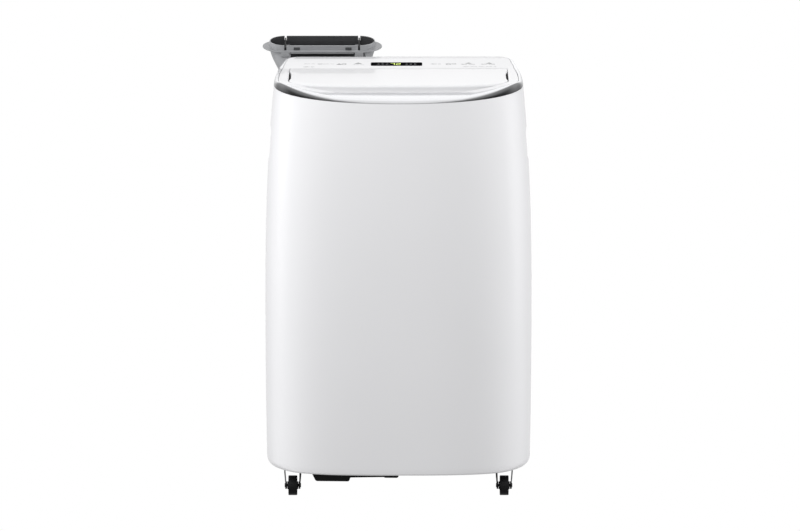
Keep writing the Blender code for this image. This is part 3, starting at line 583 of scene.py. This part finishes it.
def digit_boxes(digit, x, size):
    """Seven-segment figure as bars in the strip's plane."""
    w, h, t = size * 0.55, size, size * 0.13
    places = {
        "a": (0, h / 2, w, t), "g": (0, 0, w, t), "d": (0, -h / 2, w, t),
        "b": (w / 2, h / 4, t, h / 2), "c": (w / 2, -h / 4, t, h / 2), "e": (-w / 2, -h / 4, t, h / 2),
    }
    made = []
    for key in SEGMENTS[digit]:
        cx, cy, dx, dy = places[key]
        made.append(((x + cx - dx / 2, cy - dy / 2, 0), (x + cx + dx / 2, cy + dy / 2, 0.00012)))
    return made


def display():
    glass = bevelled(window_plate(0.0, 0.0022, 0.0), 0.0004)
    piece("display_glass", glass, GLASS, replaces=["display_window"])
    boxes = digit_boxes("7", -0.0075, 0.013) + digit_boxes("2", 0.0035, 0.013)
    mesh = boxes_mesh(*boxes)
    mesh.transform(on_strip(WINDOW_X, WINDOW_Y, 0.00002))
    piece("display_digits", mesh, DIGITS)
    marks = []
    for x in (-0.034, -0.026, -0.018, 0.019, 0.027, 0.035):
        marks.append(((x - 0.0022, -0.0022, 0), (x + 0.0022, -0.0010, 0.0001)))
        marks.append(((x - 0.0014, 0.0006, 0), (x + 0.0014, 0.0018, 0.0001)))
    mesh = boxes_mesh(*marks)
    mesh.transform(on_strip(WINDOW_X, WINDOW_Y, 0.00002))
    piece("display_marks", mesh, DIM_MARK)


def ring_mesh(radius, thickness, sides=28):
    profile = [(radius - thickness, 0), (radius, 0), (radius, 0.0001), (radius - thickness, 0.0001)]
    return turned_mesh(profile, (0, 0, 0), (0, 0, 1), sides)


def triangle_mesh(size):
    return prism_mesh([(-size, -size * 0.6), (size, -size * 0.6), (0, size * 0.8)], 0, 0.0001, flat_z)


def tick_meshes(x0, x1, height, pitch=0.0024):
    """Row of short upright ticks, as on a printed scale."""
    count = int((x1 - x0) / pitch)
    boxes = []
    for k in range(count):
        if k % 6 == 5:
            continue
        x, tall = x0 + pitch * k, height * (0.5 + 0.13 * ((k * 7) % 4))
        boxes.append(((x, -tall / 2, 0), (x + pitch * 0.55, tall / 2, 0.0001)))
    return boxes_mesh(*boxes)


def touch_marks():
    """Generic printed marks of the touch keys: rings, dashes, tick rows and triangles."""
    strong, faint = [], []

    def mark(mesh, x, y, group=strong):
        mesh.transform(on_strip(x, y, 0.00003))
        group.append(mesh)

    for x0, x1, y, tall, group in (
        (-0.178, -0.156, 0.0770, 0.0040, faint), (-0.179, -0.156, 0.0530, 0.0050, strong),
        (-0.142, -0.118, 0.0760, 0.0040, faint), (-0.086, -0.062, 0.0700, 0.0035, faint),
        (0.061, 0.082, 0.0760, 0.0050, strong), (0.118, 0.146, 0.0740, 0.0050, strong),
        (0.156, 0.186, 0.0745, 0.0050, strong), (0.122, 0.186, 0.0560, 0.0035, faint),
    ):
        mark(tick_meshes(x0, x1, tall), 0.0, y, group)
    mark(ring_mesh(0.0045, 0.0011), -0.148, 0.0760, faint)
    mark(triangle_mesh(0.0052), -0.1120, 0.0745)
    mark(ring_mesh(0.0046, 0.0012), -0.103, 0.0750)
    mark(triangle_mesh(0.0080), -0.076, 0.0810, faint)
    mark(ring_mesh(0.0050, 0.0013), 0.094, 0.0750)
    mark(ring_mesh(0.0045, 0.0012), 0.1045, 0.0770, faint)
    mark(triangle_mesh(0.0060), 0.132, 0.0830, faint)
    mark(triangle_mesh(0.0060), 0.171, 0.0830, faint)
    piece("touch_marks", merged(*strong), PRINT_AND_GROOVE_SHADE)
    piece("touch_marks_faint", merged(*faint), FAINT_PRINT)


def flap_outline():
    """The flap's plan: its ends draw in a little, which opens two crescent gaps beside it."""
    made = []
    for x, y in opening_plan():
        notch = smooth(-0.125, -0.080, y) * (1 - smooth(-0.035, 0.010, y))
        made.append((x - math.copysign(0.0030 * notch, x) if abs(x) > 0.15 else x, y))
    return made


def flap_edge_radius(y):
    """Rounder at the front lip, sharper along the hinge."""
    return 0.0020 + 0.0022 * smooth(-0.12, -0.175, y) - 0.0015 * smooth(0.0, 0.030, y)


def flap():
    """Outlet flap: slightly crowned plate with a rounded edge and a front lip that drops to the trim."""
    outline = flap_outline()
    facing = outward(outline)
    centre = Vector((0, (FLAP_BACK_Y + WIDEST_Y - FLAP_FRONT_DEPTH) / 2))
    rows = []
    for share in (0.02, 0.35, 0.7, 0.9):
        rows.append([
            Vector((centre.x + (x - centre.x) * share, centre.y + (y - centre.y) * share,
                    deck_z(centre.y + (y - centre.y) * share))) for x, y in outline
        ])
    for turn in (0, 20, 40, 60, 75, 90):
        row = []
        for (x, y), normal in zip(outline, facing):
            radius = flap_edge_radius(y)
            inset = radius * (1 - math.sin(math.radians(turn)))
            drop = radius * (1 - math.cos(math.radians(turn)))
            px, py = x - normal.x * inset, y - normal.y * inset
            row.append(Vector((px, py, deck_z(py) - drop)))
        rows.append(row)
    for level in (0.35, 0.7, 1.0):
        row = []
        for (x, y), normal in zip(outline, facing):
            radius = flap_edge_radius(y)
            top, low = deck_z(y) - radius, min(deck_z(y) - 0.0065, rim_z(y) - 0.0016)
            cove = 0.0006 * math.sin(math.pi * level) * smooth(-0.12, -0.175, y)
            row.append(Vector((x - normal.x * cove, y - normal.y * cove, top + (low - top) * level)))
        rows.append(row)
    mesh = grid_mesh(rows[::-1])
    bm = bmesh.new()
    bm.from_mesh(mesh)
    bmesh.ops.holes_fill(bm, edges=[e for e in bm.edges if e.is_boundary and
                                    (e.verts[0].co.xy - centre).length < 0.02], sides=0)
    bm.to_mesh(mesh)
    bm.free()
    obj = piece("outlet_flap_cover", mesh, WHITE, body="outlet_flap", replaces=["louver_flap"],
                angle=60)
    solidify(obj, 0.0018)


# Adapter and hose


def shaded(mesh, material=SHADE_GREY):
    """The cutter leaves its own material on the faces it makes; by default the dark grey that paints shade into the
    adapter's slots and onto its snap lugs.
    """
    mesh.materials.clear()
    mesh.materials.append(material)
    return mesh


def mouth_ring(height, straight, reach, depth, sides=96):
    centre = MOUTH + UP * height
    ring = []
    for k in range(sides):
        angle = 2 * math.pi * (k + 0.5) / sides
        x = math.copysign(straight, math.cos(angle)) + reach * math.cos(angle)
        ring.append(centre + Vector((x, 0, 0)) + BACK * depth * math.sin(angle))
    return ring


def adapter_box(x0, x1, v0, v1, h0, h1, round_by=0.0):
    mesh = boxes_mesh(((x0, v0, h0), (x1, v1, h1)))
    if round_by:
        bevelled(mesh, round_by)
    turn = Matrix((Vector((1, 0, 0)), BACK, UP)).transposed().to_4x4()
    mesh.transform(Matrix.Translation(MOUTH) @ turn)
    return mesh


def funnel_section(share, shrink=0.0):
    """Section of the funnel from a stadium under the flange to a circle at the hose."""
    ease = smooth(0, 1, share)
    straight = 0.0680 * (1 - ease)
    reach = 0.0318 + (0.0775 - 0.0318) * ease
    depth = 0.0318 + (0.0775 - 0.0318) * (0.35 * share + 0.65 * ease)
    return straight, reach - shrink, depth - shrink


def window_adapter():
    """Grey adapter: a collar and flange over a funnel, with slots, clips and snap lugs; the dark band under the flange
    is painted shade.
    """
    round_over, inside = 0.0006, COLLAR_REACH - ADAPTER_WALL
    rows = [
        mouth_ring(-round_over, COLLAR_STRAIGHT, inside, inside),
        mouth_ring(0, COLLAR_STRAIGHT, inside + round_over, inside + round_over),
        mouth_ring(0, COLLAR_STRAIGHT, COLLAR_REACH - round_over, COLLAR_REACH - round_over),
        mouth_ring(-round_over, COLLAR_STRAIGHT, COLLAR_REACH, COLLAR_REACH),
        mouth_ring(-COLLAR_H + 0.0008, COLLAR_STRAIGHT, COLLAR_REACH, COLLAR_REACH),
        mouth_ring(-COLLAR_H, COLLAR_STRAIGHT, 0.0318, 0.0316),
        mouth_ring(-COLLAR_H, FLANGE_STRAIGHT, 0.0394, 0.0354),
        mouth_ring(-COLLAR_H - 0.0006, FLANGE_STRAIGHT, 0.0400, 0.0360),
        mouth_ring(-COLLAR_H - 0.0020, FLANGE_STRAIGHT, 0.0400, 0.0360),
        mouth_ring(-COLLAR_H - 0.0025, FLANGE_STRAIGHT, 0.0394, 0.0354),
    ]
    outer, inner = [], []
    for k in range(15):
        height = -COLLAR_H - 0.0025 - (FUNNEL_H - 0.0025) * k / 14
        outer.append(mouth_ring(height, *funnel_section(k / 14)))
        inner.append(mouth_ring(height, *funnel_section(k / 14, ADAPTER_WALL)))
    loops = rows + outer + inner[::-1]
    mesh = grid_mesh(loops, close_rows=True)
    mesh.materials.append(GREY)
    mesh.materials.append(SHADE_GREY)
    sides, first_inner = len(loops[0]), len(rows) + len(outer)
    # The inside faces and the inner rim take the dark copy of the grey: painted shade inside the adapter
    for polygon in mesh.polygons:
        ring = polygon.index // sides
        polygon.material_index = 1 if ring >= first_inner or ring == 0 else 0
    obj = piece("adapter_fine", mesh, None, body="adapter", replaces=["window_adapter"])
    # Shallow pocket painted dark: the flange's shadow on the funnel's front, carried on to the funnel's shaded right
    # side
    boolean(obj, shaded(adapter_box(-0.060, 0.096, -0.0600, -0.0300, -0.0400, -0.0145, 0.0010), FLANGE_SHADE_GREY))
    # Slot walls painted dark grey as the shade inside the slots
    for x in (-0.070, 0.070):
        boolean(obj, shaded(adapter_box(x - 0.002, x + 0.002, -0.05, 0.05, -COLLAR_H + 0.0006, 0.01)))
        for v0, v1 in ((-0.0375, -0.0308), (0.0308, 0.0375)):
            boolean(obj, adapter_box(x - 0.008, x + 0.008, v0, v1, -0.0205, -0.0115, 0.0006), "UNION")
    # Snap lugs painted dark grey as their shaded edges
    for x in (-0.048, 0.050):
        boolean(obj, shaded(adapter_box(x - 0.006, x + 0.006, -0.0325, -0.0300, -0.0085, -0.0035, 0.0008)), "UNION")
    for v0, v1 in ((-0.0352, -0.0330), (0.0330, 0.0352)):
        boolean(obj, adapter_box(-0.060, 0.060, v0, v1, -0.0150, -0.0120, 0.0004), "UNION")
    # Thin black sheets low in the collar's slots: painted shade in the slots
    fins = [adapter_box(x - 0.0013, x + 0.0013, -0.0305, 0.0305, -0.0098, -0.0040) for x in (-0.070, 0.070)]
    piece("adapter_slot_shade_fins", merged(*fins), SLOT_SHADE_BLACK, body="adapter")


def ring_about(centre, direction, radius, sides):
    side = Vector((1, 0, 0))
    other = Vector(direction).cross(side)
    return [
        Vector(centre) + side * radius * math.cos(2 * math.pi * k / sides)
        + other * radius * math.sin(2 * math.pi * k / sides)
        for k in range(sides)
    ]


def tube_mesh(outer, inner, sides=72):
    return grid_mesh([ring_about(*station, sides) for station in outer + inner[::-1]], close_rows=True)


def hose():
    """Corrugated hose in its collapsed length."""
    start = Vector((DUCT_X, HOSE_Y, OUTLET_Z + ELBOW_BEND + 0.0003))
    end = MOUTH - UP * (COLLAR_H + FUNNEL_H + 0.0003)
    first, last = Vector((0, 0, 0.12)), UP * 0.12
    folds, per_fold = 34, 6
    outer, inner = [], []
    for k in range(folds * per_fold + 1):
        t = k / (folds * per_fold)
        centre = (start * (2 * t**3 - 3 * t**2 + 1) + first * (t**3 - 2 * t**2 + t)
                  + end * (3 * t**2 - 2 * t**3) + last * (t**3 - t**2))
        way = (start * (6 * t**2 - 6 * t) + first * (3 * t**2 - 4 * t + 1)
               + end * (6 * t - 6 * t**2) + last * (3 * t**2 - 2 * t)).normalized()
        wave = 0.5 - 0.5 * math.cos(2 * math.pi * k / per_fold)
        radius = HOSE_R - 0.0045 * wave
        outer.append((centre, way, radius))
        inner.append((centre, way, radius - 0.0012))
    obj = piece("hose_folds", tube_mesh(outer, inner), HOSE_GREY, body=None, replaces=["hose"],
                angle=60)
    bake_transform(obj)


def elbow():
    back = Vector((0, 1, 0))
    frames = []
    first_y = HOSE_Y - ELBOW_BEND
    for k in range(19):
        angle = math.radians(90) * k / 18
        centre = (DUCT_X, first_y + ELBOW_BEND * math.sin(angle), OUTLET_Z + ELBOW_BEND * (1 - math.cos(angle)))
        frames.append((centre, Vector((0, math.cos(angle), math.sin(angle)))))
    face = (DUCT_X, BACK_Y + 0.0003, OUTLET_Z)
    lip = (DUCT_X, BACK_Y + 0.0040, OUTLET_Z)
    outer = [(face, back, 0.0815), ((DUCT_X, BACK_Y + 0.0010, OUTLET_Z), back, 0.0820),
             ((DUCT_X, BACK_Y + 0.0034, OUTLET_Z), back, 0.0820), (lip, back, 0.0814), (lip, back, HOSE_R + 0.0010)]
    outer += [(centre, direction, HOSE_R) for centre, direction in frames[:-3]]
    outer += [(frames[-3][0], frames[-3][1], HOSE_R), (frames[-2][0], frames[-2][1], HOSE_R + 0.0012),
              (frames[-1][0], frames[-1][1], HOSE_R + 0.0012)]
    inner = [(face, back, 0.0690)] + [(centre, direction, HOSE_R - 0.003) for centre, direction in frames]
    piece("elbow_fine", tube_mesh(outer, inner), GREY, replaces=["exhaust_elbow"])


# Casters and base


def caster(name, side):
    """One swivel caster: wheel, top plate, a thin steel leg outside, a black one inside whose black is painted shade,
    and the axle's covers.
    """
    wheel_low, wheel_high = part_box(f"{name}_wheel")
    centre = (wheel_low + wheel_high) / 2
    radius = (wheel_high.z - wheel_low.z) / 2
    half = (wheel_high.x - wheel_low.x) / 2 - 0.002
    hub = 0.0075
    profile = [
        (0.0032, half + 0.002), (hub - 0.0008, half + 0.002), (hub, half + 0.0012), (hub, half - 0.0020),
        (radius - 0.0050, half - 0.0020), (radius - 0.0042, half), (radius - 0.0012, half),
        (radius - 0.0003, half - 0.0004), (radius, half - 0.0014), (radius, -half + 0.0014),
        (radius - 0.0003, -half + 0.0004), (radius - 0.0012, -half), (radius - 0.0042, -half),
        (radius - 0.0050, -half + 0.0020), (hub, -half + 0.0020), (hub, -half - 0.0012), (hub - 0.0008, -half - 0.002),
        (0.0032, -half - 0.002),
    ]
    piece(f"{name}_roller", turned_mesh(profile, centre, (1, 0, 0)), RUBBER, body=f"{name}_roller",
          replaces=[f"{name}_wheel"])
    fork_low, fork_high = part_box(f"{name}_fork")
    plate_y = fork_high.y - 0.017 if centre.y < 0 else fork_low.y + 0.017
    swivel = Vector(((fork_low.x + fork_high.x) / 2, plate_y, 0))
    top = CASTER_PLATE_TOP
    plate = [(0.0, top - 0.0002), (0.0155, top - 0.0002), (0.0166, top - 0.0012), (0.0166, top - 0.0026),
             (0.0140, top - 0.0034), (0.0, top - 0.0034)]
    outer = FORK_SPAN / 2
    body = f"{name}_swivel"
    piece(f"{name}_plate", turned_mesh(plate, swivel, (0, 0, 1)), STEEL, body=body, replaces=[f"{name}_fork"])
    for leg_side in (-1, 1):
        inner = leg_side * side < 0
        # Painted shade: the fork's inner leg, which faces the dark underside, is drawn black instead of steel
        thick, half_top, material = (0.0019, 0.0130, BLACK) if inner else (0.0010, 0.0100, STEEL)
        face = centre.x + leg_side * (outer - thick - 0.0001)
        outline = [
            (swivel.y - half_top, 0.0478), (swivel.y - half_top + 0.001, 0.0420), (centre.y - 0.0052, 0.0220),
            (centre.y - 0.0050, 0.0160), (centre.y - 0.0030, 0.0135), (centre.y + 0.0030, 0.0135),
            (centre.y + 0.0050, 0.0160), (centre.y + 0.0052, 0.0220), (swivel.y + half_top - 0.001, 0.0420),
            (swivel.y + half_top, 0.0478),
        ]
        mesh = prism_mesh(outline, face - thick, face + thick, across_x)
        for vertex in mesh.vertices:
            sink = 1 - min(1, (vertex.co.z - 0.0135) / 0.030)
            inward = (face - vertex.co.x) * leg_side
            vertex.co.x -= leg_side * (0.0030 * sink if not inner else 0.0026 * sink)
            if inner and inward > 0:
                vertex.co.x += leg_side * 0.0018 * sink
        piece(f"{name}_{'inner' if inner else 'outer'}_leg", bevelled(mesh, 0.0004), material, body=body)
    ends = []
    for leg_side in (-1, 1):
        start = (centre.x + leg_side * (half + 0.0026), centre.y, centre.z)
        end = (centre.x + leg_side * (outer - 0.0010), centre.y, centre.z)
        ends.append(bevelled(cylinder_mesh(start, end, 0.0040, 32), 0.0006))
    for leg_side in (-1, 1):
        xs = sorted((centre.x + leg_side * (half + 0.0026), centre.x + leg_side * (outer - 0.0022)))
        cover = prism_mesh(rounded_rect(centre.y - 0.0062, centre.z - 0.0066, centre.y + 0.0062, centre.z + 0.0070,
                                        0.0040), *xs, across_x)
        ends.append(bevelled(cover, 0.0005))
    pin = cylinder_mesh((centre.x - half - 0.003, centre.y, centre.z), (centre.x + half + 0.003, centre.y, centre.z),
                        0.0028, 24)
    piece(f"{name}_pin", merged(pin, *ends), BLACK, body=body, replaces=[f"{name}_axle"])


def sump():
    """Black cover under the pan: a deep block on the left, a thin web and a small boss."""
    low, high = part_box("sump_cover")
    x0, x1, top = low.x, high.x, high.z
    outline = [
        (x0, top), (x0 + 0.0045, 0.0440), (x0 + 0.0095, 0.0338), (x0 + 0.0130, low.z), (x0 + 0.0705, low.z - 0.0006),
        (x0 + 0.0725, 0.0335), (x0 + 0.0745, 0.0392), (x0 + 0.1370, 0.0400), (x0 + 0.1385, low.z + 0.0062),
        (x1 - 0.0035, low.z + 0.0060), (x1 - 0.0010, 0.0405), (x1, top),
    ]
    mesh = prism_mesh(outline, low.y, high.y, across_y)
    piece("sump_cover_fine", bevelled(mesh, 0.0012, 3, 20), BLACK, replaces=["sump_cover"])


# Back of the casing


def grille(name, body, columns, bars):
    """Door with a rounded frame and tilted slats."""
    low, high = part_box(name)
    edge = 0.012
    frame_mesh = prism_mesh(rounded_rect(low.x, low.z, high.x, high.z, 0.0055), low.y, high.y, across_y)
    obj = piece(f"{name}_door", bevelled(frame_mesh, 0.0005), WHITE, body=body, replaces=[name])
    wide = (high.x - low.x - 2 * edge + 0.006) / columns
    for c in range(columns):
        left = low.x + edge + c * wide
        boolean(obj, prism_mesh(rounded_rect(left, low.z + edge, left + wide - 0.006, high.z - edge, 0.003),
                                low.y - 0.01, high.y + 0.01, across_y))
    slats = []
    pitch = (high.z - low.z - 2 * edge) / bars
    for c in range(columns):
        left = low.x + edge + c * wide - 0.001
        right = left + wide - 0.004
        for k in range(1, bars):
            z = low.z + edge + pitch * k
            slat = boxes_mesh(((left, -0.00125, -0.0035), (right, 0.00125, 0.0035)))
            bevelled(slat, 0.0004)
            tilt = Matrix.Rotation(math.radians(-18), 4, "X")
            slat.transform(Matrix.Translation((0, (low.y + high.y) / 2, z)) @ tilt)
            slats.append(slat)
    piece(f"{name}_slats", merged(*slats), WHITE_SATIN, body=body)


def filter_screen(name, body):
    """Fine crossed threads in the filter's frame."""
    low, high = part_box(name)
    y = (low.y + high.y) / 2
    threads = []
    pitch, thick = 0.0028, 0.00030
    for k in range(int((high.x - low.x - 0.006) / pitch)):
        x = low.x + 0.003 + pitch * (k + 0.5)
        threads.append(((x - thick, y - thick, low.z + 0.003), (x + thick, y + thick, high.z - 0.003)))
    for k in range(int((high.z - low.z - 0.006) / pitch)):
        z = low.z + 0.003 + pitch * (k + 0.5)
        threads.append(((low.x + 0.003, y - thick, z - thick), (high.x - 0.003, y + thick, z + thick)))
    piece(f"{name}_threads", boxes_mesh(*threads), MESH, body=body)


def screws():
    """Domed screw heads that hold the rear half of the casing."""
    heads = []
    profile = [(0.0, 0.0014), (0.0018, 0.0013), (0.0032, 0.0009), (0.0038, 0.0), (0.0, 0.0)]
    for x, z in ((-0.185, 0.745), (0.185, 0.745), (-0.196, 0.075), (0.196, 0.075), (-0.020, 0.400), (0.196, 0.390)):
        heads.append(turned_mesh(profile, (x, BACK_Y, z), (0, 1, 0), 32))
    piece("case_screws", merged(*heads), STEEL)


# Materials of the CAD nodes that show as they are


def dress_nodes():
    looks = {
        "white_satin": WHITE_SATIN, "grey_satin": GREY, "motor_steel": STEEL, "fin_aluminium": FINS,
        "copper": COPPER, "black_paint": BLACK, "black_plastic": BLACK, "circuit_board": BOARD,
        "caster_steel": STEEL, "caster_black": RUBBER, "grey_plastic": GREY, "white_gloss": WHITE,
        "trim_silver": SILVER, "display_glass": GLASS,
    }
    slots = {row["node"]: row["material_slot"] for row in frame["record"]["subparts"]}
    for name, slot in slots.items():
        obj = frame["nodes"][name]
        if not obj.material_slots:
            obj.data.materials.append(looks[slot])
        for holder in obj.material_slots:
            holder.material = looks[slot]


# Room, light and camera


def stage():
    """Plain white floor, as bright as the room behind, that takes no part in lighting the object."""
    bm = bmesh.new()
    bmesh.ops.create_grid(bm, x_segments=1, y_segments=1, size=30)
    mesh = mesh_from(bm)
    material = bpy.data.materials.new("floor")
    material.use_nodes = True
    shader = material.node_tree.nodes["Principled BSDF"]
    shader.inputs["Base Color"].default_value = (0, 0, 0, 1)
    shader.inputs["Specular IOR Level"].default_value = 0
    shader.inputs["Emission Color"].default_value = (1, 1, 1, 1)
    shader.inputs["Emission Strength"].default_value = 1.0
    mesh.materials.append(material)
    floor = bpy.data.objects.new("floor", mesh)
    bpy.context.scene.collection.objects.link(floor)
    floor.visible_diffuse = floor.visible_glossy = floor.visible_transmission = floor.visible_shadow = False


def studio():
    """White room: brighter at both sides, dark low in front for the plated trim, plain white to the camera."""
    world = bpy.data.worlds.new("studio")
    bpy.context.scene.world = world
    world.use_nodes = True
    tree = world.node_tree
    background = tree.nodes["Background"]
    place = node(tree, "ShaderNodeTexCoord")
    split = node(tree, "ShaderNodeSeparateXYZ")
    tree.links.new(place.outputs["Generated"], split.inputs["Vector"])
    x, y, z = split.outputs

    def maths(operation, *values):
        made = node(tree, "ShaderNodeMath", operation=operation)
        for socket, value in zip(made.inputs, values):
            if isinstance(value, (int, float)):
                socket.default_value = value
            else:
                tree.links.new(value, socket)
        return made.outputs[0]

    def ramp(value, low, high, start, end):
        made = node(tree, "ShaderNodeMapRange", interpolation_type="SMOOTHSTEP")
        tree.links.new(value, made.inputs["Value"])
        for key, number in (("From Min", low), ("From Max", high), ("To Min", start), ("To Max", end)):
            made.inputs[key].default_value = number
        return made.outputs["Result"]

    def choose(share, first, second):
        made = node(tree, "ShaderNodeMix")
        tree.links.new(share, made.inputs["Factor"])
        for key, value in (("A", first), ("B", second)):
            if isinstance(value, (int, float)):
                made.inputs[key].default_value = value
            else:
                tree.links.new(value, made.inputs[key])
        return made.outputs["Result"]

    wide = maths("MULTIPLY", maths("MULTIPLY", x, x), DIFFUSE_SIDE)
    soft = maths("ADD", maths("ADD", wide, DIFFUSE_BASE), maths("MULTIPLY", x, -DIFFUSE_LEFT))
    soft = maths("MULTIPLY", soft, ramp(z, -0.3, 0.3, FLOOR_SHARE, 1.0))
    soft = maths("MULTIPLY", soft, ramp(z, 0.4, 0.95, 1.0, 0.72))
    rise = maths("ADD", ramp(z, 0.05, 0.50, 0.06, 0.65), ramp(z, 0.35, 0.95, 0.0, 0.35))
    behind = ramp(y, 0.1, 0.6, 0.0, 1.0)
    open_room = choose(behind, rise, ramp(z, -0.15, 0.25, 0.55, 1.25))
    flags = ramp(maths("ABSOLUTE", x), 0.22, 0.62, 0.0, 0.72)
    gloss = maths("MULTIPLY", open_room, maths("SUBTRACT", 1.0, flags))
    path = node(tree, "ShaderNodeLightPath")
    light = choose(path.outputs["Is Glossy Ray"], soft, gloss)
    tree.links.new(choose(path.outputs["Is Camera Ray"], light, 1.0), background.inputs["Strength"])
    background.inputs["Color"].default_value = (1, 1, 1, 1)
    for name, spot, size, power in (
        ("key", (-0.4, -1.7, 2.3), 1.6, KEY_POWER),
        ("left_rim", (-2.3, 0.4, 0.7), 1.2, LEFT_RIM),
        ("right_rim", (2.3, 0.4, 0.7), 1.2, RIGHT_RIM),
    ):
        lamp = bpy.data.lights.new(name, "AREA")
        lamp.shape, lamp.size, lamp.energy = "DISK", size, power
        holder = bpy.data.objects.new(name, lamp)
        holder.visible_glossy = False
        holder.location = spot
        holder.rotation_euler = (Vector((0, -0.1, 0.5)) - holder.location).to_track_quat("-Z", "Y").to_euler()
        bpy.context.scene.collection.objects.link(holder)


def camera():
    """Long lens, set so that the view is VIEW_WIDTH wide at the front casters."""
    forward = Vector((0, math.cos(CAMERA_ELEVATION), -math.sin(CAMERA_ELEVATION)))
    data = bpy.data.cameras.new("camera")
    obj = bpy.data.objects.new("camera", data)
    bpy.context.scene.collection.objects.link(obj)
    obj.location = CAMERA_AIM - forward * CAMERA_DISTANCE
    obj.rotation_euler = (math.pi / 2 - CAMERA_ELEVATION, 0, 0)
    caster_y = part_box("front_left_caster_wheel")[0].y + WHEEL_RADIUS
    depth = (Vector((0, caster_y, 0)) - obj.location).dot(forward)
    data.sensor_width = SENSOR
    data.lens = SENSOR * depth / VIEW_WIDTH
    data.clip_end = 100
    bpy.context.scene.camera = obj


bpy.context.scene.view_settings.view_transform = "Standard"
camera()
studio()
stage()
dress_nodes()
casing()
handles()
trim_band()
deck()
display()
touch_marks()
flap()
window_adapter()
hose()
elbow()
for end in ("front", "rear"):
    for side_name, side_sign in (("left", -1), ("right", 1)):
        caster(f"{end}_{side_name}_caster", side_sign)
sump()
grille("upper_grille", "upper_door", 1, 26)
grille("lower_grille", "lower_door", 2, 12)
filter_screen("upper_filter", "upper_door")
filter_screen("lower_filter", "lower_door")
screws()
